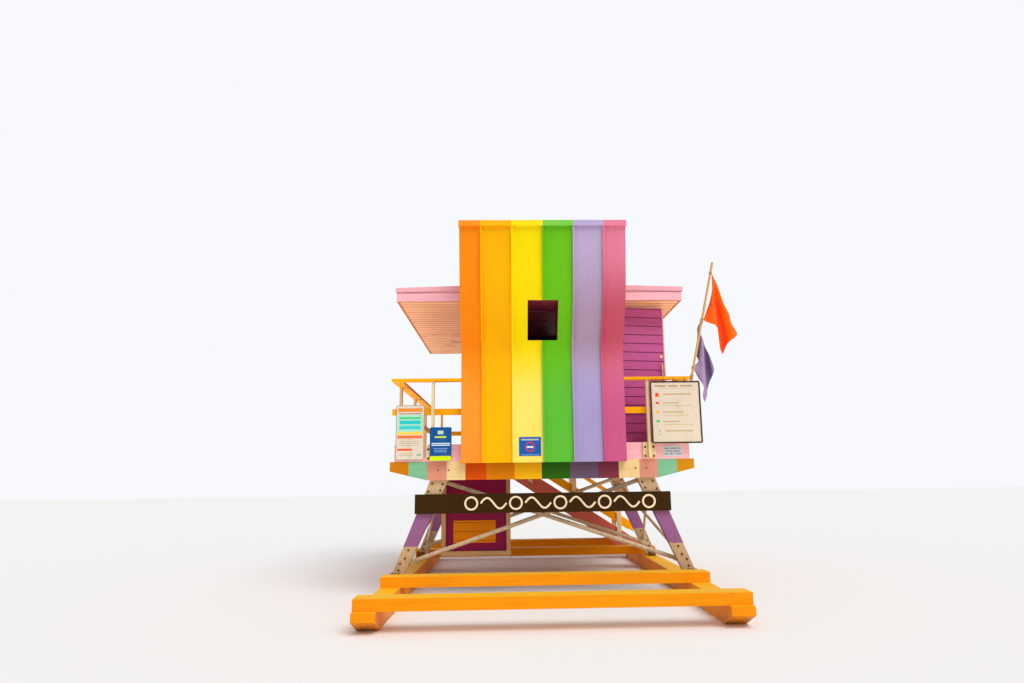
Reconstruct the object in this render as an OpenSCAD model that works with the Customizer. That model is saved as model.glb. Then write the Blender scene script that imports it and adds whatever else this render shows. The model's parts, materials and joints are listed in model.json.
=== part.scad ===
// Beach lifeguard tower on a timber sled, in millimetres.
// X runs along the deck beams, Y runs from the land side to the sea side and Z is up.
// Everything is drawn about the middle of the sled and then moved by frame_x and frame_y,
// so that the origin lies under the middle of the whole tower, flags included.

/* [Sled] */
// Length of each skid, along Y
sled_l = 7280; // [6600:20:8400]
// Distance that the sled stands out past each end of the deck beams
sled_over = 24; // [0:2:60]
// Width of a skid
skid_w = 258; // [180:2:360]
// Height of a skid
skid_h = 235; // [150:5:320]
// Length of the bevel under each skid end
skid_tip_l = 330; // [100:10:500]
// Height of the bevel under each skid end
skid_tip_h = 140; // [40:5:200]
// Width of a cross beam, along Y
cross_w = 285; // [140:5:300]
// Height of a cross beam
cross_h = 134; // [90:2:140]
// Distance from the end of a skid to the outer face of an outer cross beam
cross_set = 66; // [20:2:200]
// Distance from a leg's outer face to the outer face of an inner cross beam
cross_inner = 436; // [350:2:500]

/* [Legs and braces] */
// Distance between the outer faces of the land legs and the sea legs
leg_span = 2955; // [2600:5:3300]
// Distance from the side of the sled to the middle of a leg at its foot
leg_foot_in = 120; // [90:2:160]
// Distance from the middle to the middle of a leg at its top
leg_top_x = 1342; // [1150:2:1450]
// Width of a leg at its foot
leg_foot_w = 158; // [120:2:180]
// Width of a leg at its top
leg_top_w = 269; // [200:1:340]
// Thickness of a leg, along Y
leg_t = 130; // [80:5:180]
// Diameter of a brace pipe
pipe_d = 45; // [30:1:60]
// Thickness of the flattened end of a pipe
pipe_end_t = 8; // [4:1:12]
// Length of the flattened end of a pipe
pipe_end_l = 90; // [60:5:120]
// Height of the lower ends of the braces on the land and sea sides
brace_low_z = 455; // [400:5:520]
// Height of the upper ends of the braces on the land and sea sides
brace_high_z = 1595; // [1450:5:1700]
// Distance that the ends of the side braces keep above and below those of the other braces
brace_side_in = 110; // [100:5:250]
// Height of the plate at each end of a side brace
brace_plate_h = 90; // [70:5:100]

/* [Deck] */
// Length of the deck between the outer faces of its end boards
deck_l = 4150; // [3900:10:4400]
// Depth of the landing at the top of the stair, from the deck's sea face to the skids' ends
landing_d = 712; // [660:4:800]
// Height of the deck surface above the floor
deck_z = 2089; // [2000:1:2300]
// Height of the boards round the deck
rim_h = 235; // [200:1:300]
// Thickness of the boards round the deck and of the joists
rim_t = 45; // [30:1:60]
// Thickness of the deck floor
floor_t = 38; // [20:1:50]
// Distance from one joist to the next
joist_pitch = 400; // [300:10:600]
// Distance that the deck beams stand out past each end of the deck
beam_over = 60; // [30:2:90]
// Height of a deck beam
beam_h = 257; // [200:1:320]
// Thickness of a deck beam
beam_t = 45; // [30:1:90]
// Height left at the tapered end of a deck beam
beam_end_h = 131; // [80:1:180]
// Length of the taper under a deck beam
beam_taper_l = 519; // [200:1:600]
// Length of the name board
board_l = 3558; // [3200:2:3900]
// Height of the name board
board_h = 263; // [180:1:300]
// Height of the lower edge of the name board above the floor
board_z = 1144; // [1000:2:1250]
// Thickness of the name board
board_t = 45; // [20:1:60]

/* [Railings] */
// Height of the top of the railings above the deck
rail_h = 920; // [880:5:1100]
// Width of the flat top rail
top_rail_w = 140; // [89:1:160]
// Thickness of the rails and posts
rail_t = 38; // [30:1:50]
// Height of the middle rail and depth of the posts
rail_w = 89; // [60:1:120]
// Height of the middle of the middle rail above the deck
mid_rail_z = 458; // [350:2:550]
// Distance that the side top rails are set in from the middle of their posts
side_rail_in = 45; // [20:1:50]
// Distance from one railing post to the next on the left and right sides
post_pitch = 1575; // [1200:5:1800]
// Place of the land post on the left, from the middle
post_left_x = 1540; // [1350:5:1900]
// Place of the land post on the right, from the middle
post_right_x = 1503; // [1350:1:1900]
// Width of a clamping block beside a post
block_w = 70; // [50:2:100]
// Height of the posts' lower ends above the lower edge of the deck boards
post_up = 15; // [0:1:30]
// Number of posts of the sea railing
sea_posts = 4; // [3:1:6]

/* [Wave wall] */
// Width of the wave wall
wall_w = 2304; // [2100:2:2500]
// Distance that the wave wall stands to the right of the middle
wall_shift = 14; // [0:1:60]
// Distance from the upper edge of the deck beam down to the wall's lower edge
wall_drop = 30; // [0:2:80]
// Height of the top of the wave wall, cap included, above the floor
wall_z1 = 5105; // [4900:5:5400]
// Thickness of the wave wall
wall_t = 30; // [15:1:45]
// Distance from the deck face to the outer face of the lower wave wall
wall_out = 125; // [120:1:200]
// Height of the ceiling above the level at which the wave wall starts to lean out
wave_down = 863; // [700:1:1000]
// Steepest lean of the wave wall, in degrees
wave_angle = 36; // [25:1:42]
// Lean of the top of the wave wall, in degrees
wave_top_angle = 11; // [5:1:18]
// Radius of the hollow bend
wave_r1 = 450; // [300:10:600]
// Radius of the round bend
wave_r2 = 1300; // [900:20:1500]
// Length of the straight stretch between the two bends
wave_run = 315; // [200:5:400]
// Width of a standing seam
seam_w = 24; // [12:1:40]
// Height of a standing seam
seam_h = 32; // [15:1:45]
// Height of the cap on the wave wall
cap_h = 77; // [50:1:100]
// Distance that the cap stands out past the wave wall's seams and sides
cap_out = 8; // [4:1:20]
// Distance that the cap reaches back over the frames
cap_back = 60; // [30:2:120]
// Thickness of the frames behind the wave wall
frame_t = 38; // [25:1:50]
// Depth of the frames at the top of the wave wall
frame_top_d = 300; // [200:10:400]
// Height above the ceiling at which the frames stand straight behind the roof
frame_back_h = 400; // [260:10:500]

/* [Cabin] */
// Width of the cabin, along X
cabin_w = 2000; // [1800:10:2100]
// Distance from the land face of the deck to the land face of the cabin
cabin_set = 150; // [120:5:260]
// Depth of the cabin, along Y
cabin_d = 2750; // [2300:10:3000]
// Thickness of the cabin walls
cabin_t = 100; // [80:2:140]
// Height of the ceiling above the deck
cabin_h = 2074; // [2060:2:2300]
// Width of a window opening
window_w = 425; // [300:5:500]
// Height of a window opening
window_h = 505; // [350:5:540]
// Height of a window sill above the deck
sill_h = 1441; // [1350:1:1480]
// Thickness of the lining of the land window
lining_t = 20; // [12:1:30]

/* [Door] */
// Width of the door leaf
leaf_w = 885; // [700:5:930]
// Height of the door leaf
leaf_h = 2028; // [1900:2:2030]
// Thickness of the door leaf
leaf_t = 45; // [30:1:60]
// Clearance round the door leaf
leaf_gap = 8; // [6:1:12]
// Angle at which the door stands open
door_open = 80; // [0:1:110]
// Radius of a hinge knuckle
knuckle_r = 9; // [6:0.5:14]
// Height of a hinge
hinge_h = 100; // [70:5:140]
// Width of a hinge plate
hinge_w = 60; // [40:2:90]
// Thickness of a hinge plate
hinge_t = 3; // [2:0.5:5]
// Distance from the leaf's free edge to the pull handle and the deadbolt
pull_in = 65; // [45:5:120]
// Height of the middle of the pull handle above the deck
pull_z = 1090; // [900:10:1200]
// Length of the pull handle
pull_l = 187; // [120:1:300]
// Diameter of the pull handle
pull_d = 20; // [14:1:30]
// Distance from the leaf to the middle of the pull handle
pull_out = 45; // [30:1:60]
// Height of the middle of the deadbolt above the deck
bolt_z = 1289; // [1230:1:1400]
// Diameter of the deadbolt's rose
bolt_d = 52; // [40:1:70]

/* [Roof] */
// Length of the roof, along X
roof_l = 4222; // [3900:2:4400]
// Distance that the roof's land edge stands behind the deck's land face
roof_in = 10; // [5:1:60]
// Distance that the roof stands out past the deck's sea face
roof_out = 6; // [0:1:60]
// Height of the roof board's lower band
fascia_h = 137; // [100:1:200]
// Thickness of the roof boards
fascia_t = 38; // [20:1:50]
// Thickness of the roof's top slab
roof_t = 66; // [30:1:90]
// Distance that the slab stands out past the roof boards
drip = 15; // [5:1:30]
// Rise of the roof towards its middle
crown = 65; // [20:5:120]
// Thickness of the ceiling boards
soffit_t = 18; // [10:1:25]

/* [Locker] */
// Left edge of the locker, from the middle
locker_x = 1466; // [1350:2:1480]
// Width of the locker
locker_w = 1008; // [700:2:1100]
// Depth of the locker, along Y
locker_d = 800; // [500:10:1000]
// Distance from the middle to the land face of the locker
locker_y = 922; // [700:2:1000]
// Height of the lower edge of the locker above the floor
locker_z = 518; // [450:2:700]
// Thickness of the locker's posts and rails
locker_post = 62; // [40:2:90]
// Thickness of the locker's panels
locker_t = 20; // [12:1:30]
// Width of the locker's front panel
panel_w = 605; // [400:5:700]
// Height of the locker's front panel
panel_h = 600; // [400:10:800]

/* [Stair] */
// Distance from the middle to the top of the stair
stair_x = 715; // [600:5:900]
// Clearance between the deck's sea face and the posts of the stair
stair_gap = 10; // [5:1:40]
// Number of risers
risers = 10; // [9:1:11]
// Depth of each step
going = 290; // [260:2:300]
// Depth of a stringer board, square to its slope
stringer_h = 300; // [240:2:320]
// Thickness of the stringers, treads and stair posts
stringer_t = 38; // [30:1:50]
// Height of the stringer's top edge above the step edges
stringer_up = 60; // [30:5:100]
// Distance that the stringers' feet reach past the side of the sled
stringer_over = 60; // [20:5:100]
// Height of the stair's top rail above the stringer
stair_rail_h = 590; // [500:10:900]
// Height of the stair's middle rail above the stringer
stair_mid_h = 115; // [80:5:300]
// Width of the stair's middle rail
stair_mid_w = 140; // [80:2:160]
// Distance from the top of the stair to its first post
stair_post_x = 665; // [400:5:800]
// Distance from one stair post to the next
stair_post_pitch = 885; // [600:5:950]
// Distance that a stair post reaches down the stringer
stair_post_drop = 200; // [120:5:260]

/* [Flags] */
// Diameter of the flag pole
pole_d = 34; // [24:1:50]
// Lean of the pole away from the tower, in degrees
pole_lean = 13.4; // [10:0.2:15]
// Length of the pole
pole_l = 2700; // [2200:10:3200]
// Distance from the end of the deck to the middle of the pole's foot
pole_in = 128; // [110:2:200]
// Height of the pole's foot above the deck
pole_up = 10; // [5:1:60]
// Width of the strap that holds the pole
strap_w = 40; // [25:1:60]
// Thickness of the strap
strap_t = 3; // [2:0.5:5]
// Thickness of the flags
flag_t = 12; // [6:1:20]

/* [Hidden] */
$fn = 32;

// Heights
rim_z = deck_z - rim_h;
beam_z = rim_z - beam_h;
joist_h = rim_h - floor_t;
soffit_z = deck_z + cabin_h;
rail_top_z = deck_z + rail_h;
rail_low_z = rail_top_z - rail_t;
mid_z = deck_z + mid_rail_z - rail_w / 2;
post_z = rim_z + post_up;

// Deck, which stands out over the sea legs, and the landing at its sea side
leg_y = leg_span / 2;
deck_y0 = -leg_y - beam_t;
deck_y1 = sled_l / 2 - landing_d;
deck_y = (deck_y0 + deck_y1) / 2;
face_x = deck_l / 2;
beam_l = deck_l + 2 * beam_over;
stair_y = deck_y1 + stair_gap + stringer_t;
stair_w = sled_l / 2 - stair_y;

// Legs
sled_w = beam_l + 2 * sled_over;
leg_foot_x = sled_w / 2 - leg_foot_in;
leg_in_y = leg_y - leg_t;
function leg_x(z) = leg_foot_x + (leg_top_x - leg_foot_x) * (z - skid_h) / (rim_z - skid_h);
splay = atan((leg_foot_x - leg_top_x) / (rim_z - skid_h));

// Railings: the outer edge of the side rails, and the middles of the posts of the other rails
rail_edge_x = face_x + rail_t / 2 + top_rail_w / 2 - side_rail_in;
rail_land_y = deck_y0 - rail_w / 2;
rail_sea_y = deck_y1 - rim_t - rail_w / 2;
rail_landing_y = sled_l / 2 - rim_t - rail_w / 2;

// Wave wall: the points of one face, off millimetres out from its back face
wall_z0 = rim_z - wall_drop;
wall_y = -deck_y0 + wall_out - wall_t;
wave_z = soffit_z - wave_down;
wave_steps = 8;
wave_end_z = wall_z1 - cap_h;
function wave(off) = let (
        r1 = wave_r1 - off,
        r2 = wave_r2 + off,
        y0 = -wall_y - off,
        c1y = -wall_y - wave_r1,
        a = wave_angle,
        b = wave_top_angle,
        y1 = c1y + r1 * cos(a) - wave_run * sin(a),
        z1 = wave_z + r1 * sin(a) + wave_run * cos(a),
        c2y = y1 + r2 * cos(a),
        c2z = z1 + r2 * sin(a),
        y2 = c2y - r2 * cos(b),
        z2 = c2z - r2 * sin(b))
    concat(
        [[y0, wall_z0]],
        [for (i = [0 : wave_steps]) [c1y + r1 * cos(a * i / wave_steps), wave_z + r1 * sin(a * i / wave_steps)]],
        [for (i = [0 : wave_steps]) let (t = a + (b - a) * i / wave_steps)
            [c2y - r2 * cos(t), c2z - r2 * sin(t)]],
        [[y2 - (wave_end_z - z2) * tan(b), wave_end_z]]);
function back_to_front(points) = [for (i = [len(points) - 1 : -1 : 0]) points[i]];
function wave_top_y(off) = wave(off)[len(wave(off)) - 1][0];

// Left edges of the six painted panels, as shares of the wall's width
panel_edges = [0, 0.125, 0.31, 0.497, 0.68, 0.861, 1];
panel_colours = ["#ff9a2e", "#ffb400", "#ffe000", "#63c43a", "#b3a6cb", "#d9608c"];
function panel_x(i) = wall_shift + wall_w * (panel_edges[i] - 0.5);

// Cabin and door
cabin_y = deck_y0 + cabin_set;
cabin_x = cabin_w / 2;
window_z = deck_z + sill_h;
door_y = cabin_y + cabin_t;
door_w = leaf_w + 2 * leaf_gap;
door_h = leaf_h + 2 * leaf_gap;
hinge_x = cabin_x + knuckle_r + hinge_t;
hinge_zs = [for (share = [0.09, 0.5, 0.9]) deck_z + share * leaf_h];
part_gap = 0.3;

// Roof
roof_y0 = deck_y0 + roof_in;
roof_y1 = deck_y1 + roof_out;
roof_x = roof_l / 2 - drip;
roof_slope = crown / roof_x;

// Stair
rise = (deck_z - skid_h) / risers;
stair_a = atan(rise / going);
stair_x1 = -stair_x + risers * going;
stair_end_x = sled_w / 2 + stringer_over;

// Flags: outlines in shares of the pole's length, across from the pole and then up along it
pole_foot_x = face_x - pole_in;
pole_foot_z = deck_z + pole_up;
pole_y = deck_y0 - pole_d / 2 - strap_t - part_gap;
hem = pole_d / 2 + part_gap;
flag_tip = [0.2007, 0.64] * pole_l;
orange_edge = [[0.051, 0.871], [0.1, 0.776], [0.1456, 0.7274], [0.1526, 0.6874], [0.2007, 0.64],
    [0.2015, 0.6215], [0.161, 0.579], [0.145, 0.507], [0.124, 0.526], [0.0885, 0.65]];
orange_hoist = [[0.026, 0.769], [0.0263, 0.843]];
purple_edge = [[0, 0.663], [0.003, 0.603], [0.04, 0.545], [0.077, 0.488], [0.116, 0.416], [0.114, 0.383],
    [0.108, 0.36], [0.098, 0.3], [0.104, 0.269], [0.095, 0.23], [0.076, 0.263], [0.08, 0.311],
    [0.045, 0.346], [0.01, 0.3915], [-0.011, 0.394], [0.004, 0.4115], [0.03, 0.442], [0.0075, 0.4775],
    [-0.0115, 0.61], [-0.017, 0.625]];

// Moves the middle of the whole tower's box to the origin
flag_reach = pole_foot_x + flag_tip[0] * cos(pole_lean) + flag_tip[1] * sin(pole_lean);
frame_x = (sled_w / 2 - flag_reach) / 2;
frame_y = -stringer_t / 2;
far = 2 * sled_l;

module placed() {
    translate([frame_x, frame_y, 0]) children();
}

// Extrudes an outline drawn in X and Z from y0 to y1
module along_y(y0, y1) {
    translate([0, y1, 0]) rotate([90, 0, 0]) linear_extrude(height = y1 - y0) children();
}

// Extrudes an outline drawn in Y and Z from x0 to x1
module along_x(x0, x1) {
    translate([x0, 0, 0]) rotate([90, 0, 90]) linear_extrude(height = x1 - x0) children();
}

// A box given by its lowest and highest corners
module slab(low, high) {
    translate(low) cube(high - low);
}

// Sled
module skid(side) {
    x = side * (sled_w - skid_w) / 2;
    color("#ffa000") along_x(x - skid_w / 2, x + skid_w / 2)
        polygon([[-sled_l / 2, skid_tip_h], [-sled_l / 2 + skid_tip_l, 0],
            [sled_l / 2 - skid_tip_l, 0], [sled_l / 2, skid_tip_h],
            [sled_l / 2, skid_h], [-sled_l / 2, skid_h]]);
}

module cross_beams(side) {
    color("#ffa000") for (y = [sled_l / 2 - cross_set, leg_y + cross_inner])
        mirror([0, side < 0 ? 1 : 0, 0])
            slab([-sled_w / 2, y - cross_w, skid_h], [sled_w / 2, y, skid_h + cross_h]);
}

// Legs and braces
module leg(side_x, side_y) {
    color("#8a5596") mirror([side_x < 0 ? 1 : 0, 0, 0]) mirror([0, side_y < 0 ? 1 : 0, 0])
        along_y(leg_in_y, leg_y)
            polygon([[leg_foot_x - leg_foot_w / 2, skid_h], [leg_foot_x + leg_foot_w / 2, skid_h],
                [leg_top_x + leg_top_w / 2, rim_z], [leg_top_x - leg_top_w / 2, rim_z]]);
}

// A pipe from a to b, both [u, v], in the plane y = 0, with its flattened ends on the side y > 0
module braced_pipe(a, b) {
    run = norm(b - a);
    turn = atan2(b[1] - a[1], b[0] - a[0]);
    translate([a[0], 0, a[1]]) rotate([0, -turn, 0]) {
        translate([pipe_end_l, 0, 0]) rotate([0, 90, 0]) cylinder(d = pipe_d, h = run - 2 * pipe_end_l);
        for (end = [0, 1])
            translate([end * run, 0, 0]) mirror([end, 0, 0])
                slab([-pipe_end_l / 2, pipe_d / 2 - pipe_end_t, -pipe_d / 2],
                    [pipe_end_l + part_gap, pipe_d / 2, pipe_d / 2]);
    }
}

// The crossed pipes lie against the inner faces of the legs
module brace_end(side) {
    low_x = leg_x(brace_low_z);
    high_x = leg_x(brace_high_z);
    color("#c0a888") mirror([0, side < 0 ? 1 : 0, 0]) translate([0, leg_in_y - pipe_d / 2, 0]) {
        braced_pipe([-low_x, brace_low_z], [high_x, brace_high_z]);
        braced_pipe([low_x, brace_low_z], [-high_x, brace_high_z]);
    }
}

// The crossed pipes run between the legs, in the plane of their slope, with a plate at each end
module brace_side(side) {
    low = (brace_low_z + brace_side_in - skid_h) / cos(splay);
    high = (brace_high_z - brace_side_in - skid_h) / cos(splay);
    reach = leg_in_y - pipe_d / 2 * sin(atan2(high - low, 2 * leg_in_y)) - part_gap;
    turn = atan2(high - low, 2 * reach);
    color("#c0a888") mirror([side < 0 ? 1 : 0, 0, 0])
        translate([leg_foot_x, 0, skid_h]) rotate([0, -splay, 0])
            for (flip = [0, 1]) mirror([0, flip, 0]) {
                translate([0, -reach, low]) rotate([turn - 90, 0, 0])
                    cylinder(d = pipe_d, h = norm([2 * reach, high - low]));
                for (v = [low, high])
                    slab([-brace_plate_h / 2, leg_in_y - pipe_end_t, v - brace_plate_h / 2],
                        [brace_plate_h / 2, leg_in_y, v + brace_plate_h / 2]);
            }
}

module name_board() {
    color("#3a2a08")
        slab([-board_l / 2, -leg_y - board_t, board_z], [board_l / 2, -leg_y, board_z + board_h]);
}

// Deck
module deck_beam(side) {
    color("#e08000") mirror([0, side < 0 ? 1 : 0, 0]) along_y(leg_y, leg_y + beam_t)
        polygon([[-beam_l / 2, rim_z], [-beam_l / 2, rim_z - beam_end_h],
            [-beam_l / 2 + beam_taper_l, beam_z], [beam_l / 2 - beam_taper_l, beam_z],
            [beam_l / 2, rim_z - beam_end_h], [beam_l / 2, rim_z]]);
}

module deck_joists() {
    half = floor((face_x - 2 * rim_t) / joist_pitch);
    color("#c8923c") for (i = [-half : half])
        slab([i * joist_pitch - rim_t / 2, deck_y0 + rim_t, rim_z],
            [i * joist_pitch + rim_t / 2, deck_y1 - rim_t, rim_z + joist_h]);
}

module deck_rim_long() {
    color("#f9b8c0") for (y = [deck_y0, deck_y1 - rim_t])
        slab([-face_x, y, rim_z], [face_x, y + rim_t, deck_z]);
}

module deck_rim_short() {
    color("#f9b8c0") for (x = [-face_x, face_x - rim_t])
        slab([x, deck_y0 + rim_t, rim_z], [x + rim_t, deck_y1 - rim_t, deck_z]);
}

module deck_floor() {
    color("#e0c098")
        slab([-face_x + rim_t, deck_y0 + rim_t, deck_z - floor_t], [face_x - rim_t, deck_y1 - rim_t, deck_z]);
}

// Railings
module post(x, y, z0) {
    slab([x - rail_t / 2, y - rail_w / 2, z0], [x + rail_t / 2, y + rail_w / 2, rail_low_z]);
}

// Rails along X on posts whose middles lie on the line y, with the middle rail on the side y < 0
module rails_x(x0, x1, mid_x0, mid_x1, y) {
    slab([x0, y - top_rail_w / 2, rail_low_z], [x1, y + top_rail_w / 2, rail_top_z]);
    slab([mid_x0, y - rail_w / 2 - rail_t, mid_z], [mid_x1, y - rail_w / 2, mid_z + rail_w]);
}

// The land posts stand outside the deck, each clamped between two blocks
module railing_land() {
    reach = rail_t / 2 + block_w;
    wall_x0 = wall_shift - wall_w / 2;
    wall_x1 = wall_shift + wall_w / 2;
    color("#ffa800") mirror([0, 1, 0]) {
        for (x = [-post_left_x, post_right_x]) {
            post(x, -rail_land_y, post_z);
            slab([x - reach, -deck_y0, post_z], [x + reach, -deck_y0 + rail_t, deck_z]);
        }
        rails_x(-rail_edge_x, wall_x0, -rail_edge_x, wall_x0, -rail_land_y);
        rails_x(wall_x1, rail_edge_x, wall_x1, rail_edge_x, -rail_land_y);
    }
}

// The side posts stand outside the deck, and the rails end at the line end_y
module railing_side(side, end_y, post_ys) {
    color("#ffa800") mirror([side < 0 ? 1 : 0, 0, 0]) {
        slab([rail_edge_x - top_rail_w, rail_land_y + top_rail_w / 2, rail_low_z],
            [rail_edge_x, end_y - top_rail_w / 2, rail_top_z]);
        slab([face_x - rail_t, deck_y0 + rail_t, mid_z], [face_x, end_y + rail_w / 2, mid_z + rail_w]);
        for (y = post_ys) post(face_x + rail_t / 2, y, post_z);
    }
}

side_post_ys = [for (i = [-1 : 1]) deck_y + i * post_pitch];
module railing_left() {
    railing_side(-1, rail_landing_y, concat(side_post_ys, [rail_landing_y]));
}

module railing_right() {
    railing_side(1, rail_sea_y, side_post_ys);
}

// The sea posts stand on the floor: along the deck, and along the landing to the left of the stair
module railing_sea() {
    x0 = -stair_x + rail_w;
    pitch = (face_x - rail_w - x0) / (sea_posts - 1);
    mid_x = face_x - rail_t;
    color("#ffa800") {
        rails_x(-stair_x, rail_edge_x, -stair_x, mid_x, rail_sea_y);
        for (i = [0 : sea_posts - 1]) post(x0 + i * pitch, rail_sea_y, deck_z);
        rails_x(-rail_edge_x, -stair_x, -mid_x, -stair_x, rail_landing_y);
        for (x = [-face_x + 2 * rail_w, -stair_x - rail_w]) post(x, rail_landing_y, deck_z);
    }
}

// Cabin
module window_hole() {
    translate([-window_w / 2, window_z]) square([window_w, window_h]);
}

// The window hole grown by its lining
module lined_hole() {
    translate([-window_w / 2 - lining_t, window_z - lining_t])
        square([window_w + 2 * lining_t, window_h + 2 * lining_t]);
}

module cabin_wall_land() {
    color("#a0487e") difference() {
        slab([-cabin_x, cabin_y, deck_z], [cabin_x, cabin_y + cabin_t, soffit_z]);
        along_y(-far, far) translate([wall_shift, 0]) window_hole();
    }
}

module cabin_wall_left() {
    color("#a0487e") difference() {
        slab([-cabin_x, door_y, deck_z], [-cabin_x + cabin_t, cabin_y + cabin_d - cabin_t, soffit_z]);
        along_x(-far, far) translate([cabin_y + cabin_d / 2, 0]) window_hole();
    }
}

module cabin_wall_sea() {
    color("#a0487e") difference() {
        slab([-cabin_x, cabin_y + cabin_d - cabin_t, deck_z], [cabin_x, cabin_y + cabin_d, soffit_z]);
        for (x = [-cabin_w / 4, cabin_w / 4]) along_y(-far, far) translate([x, 0]) window_hole();
    }
}

module cabin_wall_right() {
    color("#a0487e")
        slab([cabin_x - cabin_t, door_y + door_w, deck_z], [cabin_x, cabin_y + cabin_d - cabin_t, soffit_z]);
}

module cabin_door_head() {
    color("#a0487e")
        slab([cabin_x - cabin_t, door_y, deck_z + door_h], [cabin_x, door_y + door_w, soffit_z]);
}

// Wave wall
module wave_panel(i) {
    shell = concat(wave(0), back_to_front(wave(wall_t)));
    seam = concat(wave(wall_t / 2), back_to_front(wave(wall_t + seam_h)));
    color(panel_colours[i]) difference() {
        union() {
            along_x(panel_x(i), panel_x(i + 1)) polygon(shell);
            if (i > 0) along_x(panel_x(i), panel_x(i) + seam_w) polygon(seam);
        }
        along_y(-far, cabin_y) translate([wall_shift, 0]) lined_hole();
    }
}

module wave_frames() {
    back_y = wave_top_y(0) + frame_top_d;
    outline = concat(wave(0), [[back_y, wave_end_z], [deck_y0, soffit_z + frame_back_h], [deck_y0, soffit_z],
        [cabin_y, soffit_z], [cabin_y, deck_z], [deck_y0, deck_z], [deck_y0, wall_z0]]);
    color("#c89a5a") for (x = [panel_x(0), panel_x(2) - frame_t / 2, panel_x(4) - frame_t / 2, panel_x(6) - frame_t])
        along_x(x, x + frame_t) polygon(outline);
}

module wave_cap() {
    color("#d8c8a8") slab([panel_x(0) - cap_out, wave_top_y(wall_t + seam_h) - cap_out, wave_end_z],
        [panel_x(6) + cap_out, wave_top_y(0) + cap_back, wall_z1]);
}

module window_lining() {
    color("#6a2038") intersection() {
        along_x(-wall_w, wall_w) polygon(concat(wave(wall_t), [[cabin_y, wave_end_z], [cabin_y, wall_z0]]));
        along_y(-far, cabin_y) translate([wall_shift, 0]) difference() {
            lined_hole();
            window_hole();
        }
    }
}

// Roof
module roof_soffit() {
    x = roof_x - fascia_t;
    edge = drip + fascia_t;
    color("#ebaa80") slab([-x, roof_y0 + edge, soffit_z], [x, roof_y1 - edge, soffit_z + soffit_t]);
}

module roof_fascia_long() {
    top = soffit_z + fascia_h;
    color("#f2b5c0") for (y = [roof_y0 + drip, roof_y1 - drip - fascia_t])
        along_y(y, y + fascia_t)
            polygon([[-roof_x, soffit_z], [roof_x, soffit_z], [roof_x, top], [0, top + crown], [-roof_x, top]]);
}

module roof_fascia_short() {
    edge = drip + fascia_t;
    color("#f2b5c0") for (flip = [0, 1]) mirror([flip, 0, 0])
        slab([roof_x - fascia_t, roof_y0 + edge, soffit_z], [roof_x, roof_y1 - edge, soffit_z + fascia_h]);
}

// The slab follows the slope of the boards that carry it
module roof_top() {
    x = roof_l / 2;
    edge = soffit_z + fascia_h - drip * roof_slope + part_gap;
    middle = soffit_z + fascia_h + crown + part_gap;
    color("#f5c2ca") along_y(roof_y0, roof_y1)
        polygon([[-x, edge], [0, middle], [x, edge], [x, edge + roof_t], [0, middle + roof_t], [-x, edge + roof_t]]);
}

// Door
module door_swing() {
    translate([hinge_x, door_y, 0]) rotate([0, 0, -door_open]) translate([-hinge_x, -door_y, 0]) children();
}

module door_leaf() {
    color("#a0487e") door_swing()
        slab([cabin_x - leaf_t, door_y + leaf_gap, deck_z + leaf_gap],
            [cabin_x, door_y + leaf_gap + leaf_w, deck_z + leaf_gap + leaf_h]);
}

// One half of a hinge: a knuckle on the axis, and a plate on the outer face, side = 1 on the leaf
module hinge_half(z, side) {
    half_h = (hinge_h - part_gap) / 2;
    z0 = side > 0 ? z + part_gap / 2 : z - hinge_h / 2;
    plate_x = cabin_x - hinge_x;
    translate([hinge_x, door_y, z0]) {
        cylinder(r = knuckle_r, h = half_h);
        mirror([0, side < 0 ? 1 : 0, 0]) {
            slab([plate_x, part_gap, 0], [0, 2 * leaf_gap, half_h]);
            slab([plate_x, part_gap, 0], [plate_x + hinge_t, hinge_w, half_h]);
        }
    }
}

// A bar or rose that stands out from the leaf's outer face
module on_leaf(y, z, d, h) {
    translate([cabin_x, y, z]) rotate([0, 90, 0]) cylinder(d = d, h = h);
}

module door_hardware() {
    y = door_y + leaf_gap + leaf_w - pull_in;
    z = deck_z + pull_z;
    foot = (pull_l - 2 * pull_d) / 2;
    color("#9a9a9a") door_swing() {
        for (hinge_z = hinge_zs) hinge_half(hinge_z, 1);
        on_leaf(y, deck_z + bolt_z, bolt_d, pull_d);
        for (end = [-1, 1]) on_leaf(y, z + end * foot, 0.8 * pull_d, pull_out);
        translate([cabin_x + pull_out, y, z - pull_l / 2]) cylinder(d = pull_d, h = pull_l);
    }
}

module door_hinges() {
    color("#9a9a9a") for (hinge_z = hinge_zs) hinge_half(hinge_z, -1);
}

// Locker under the deck
module locker_frame() {
    x0 = -locker_x;
    x1 = -locker_x + locker_w;
    y0 = -locker_y;
    y1 = -locker_y + locker_d;
    color("#d8b888") {
        for (x = [x0, x1 - locker_post], y = [y0, y1 - locker_post])
            slab([x, y, locker_z], [x + locker_post, y + locker_post, rim_z]);
        for (y = [y0, y1 - locker_post])
            slab([x0, y, locker_z], [x1, y + locker_post, locker_z + locker_post]);
        for (x = [x0, x1 - locker_post])
            slab([x, y0, locker_z], [x + locker_post, y1, locker_z + locker_post]);
    }
}

module locker_case() {
    low = [-locker_x + locker_post, -locker_y + locker_post, locker_z + locker_post];
    high = [-locker_x + locker_w - locker_post, -locker_y + locker_d - locker_post, rim_z];
    wall = [locker_t, locker_t, locker_t];
    color("#6b1b50") difference() {
        slab(low, high);
        slab(low + wall, high - wall + [0, 0, 2 * locker_t]);
    }
}

module locker_front() {
    x = -locker_x + (locker_w - panel_w) / 2;
    y = -locker_y + locker_post;
    z = locker_z + 3 * locker_post;
    color("#f08010") slab([x, y - locker_t, z], [x + panel_w, y, z + panel_h]);
}

// Stair
// The height of the line through the step edges
function pitch_z(x) = deck_z - (x + stair_x) * rise / going;

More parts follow.
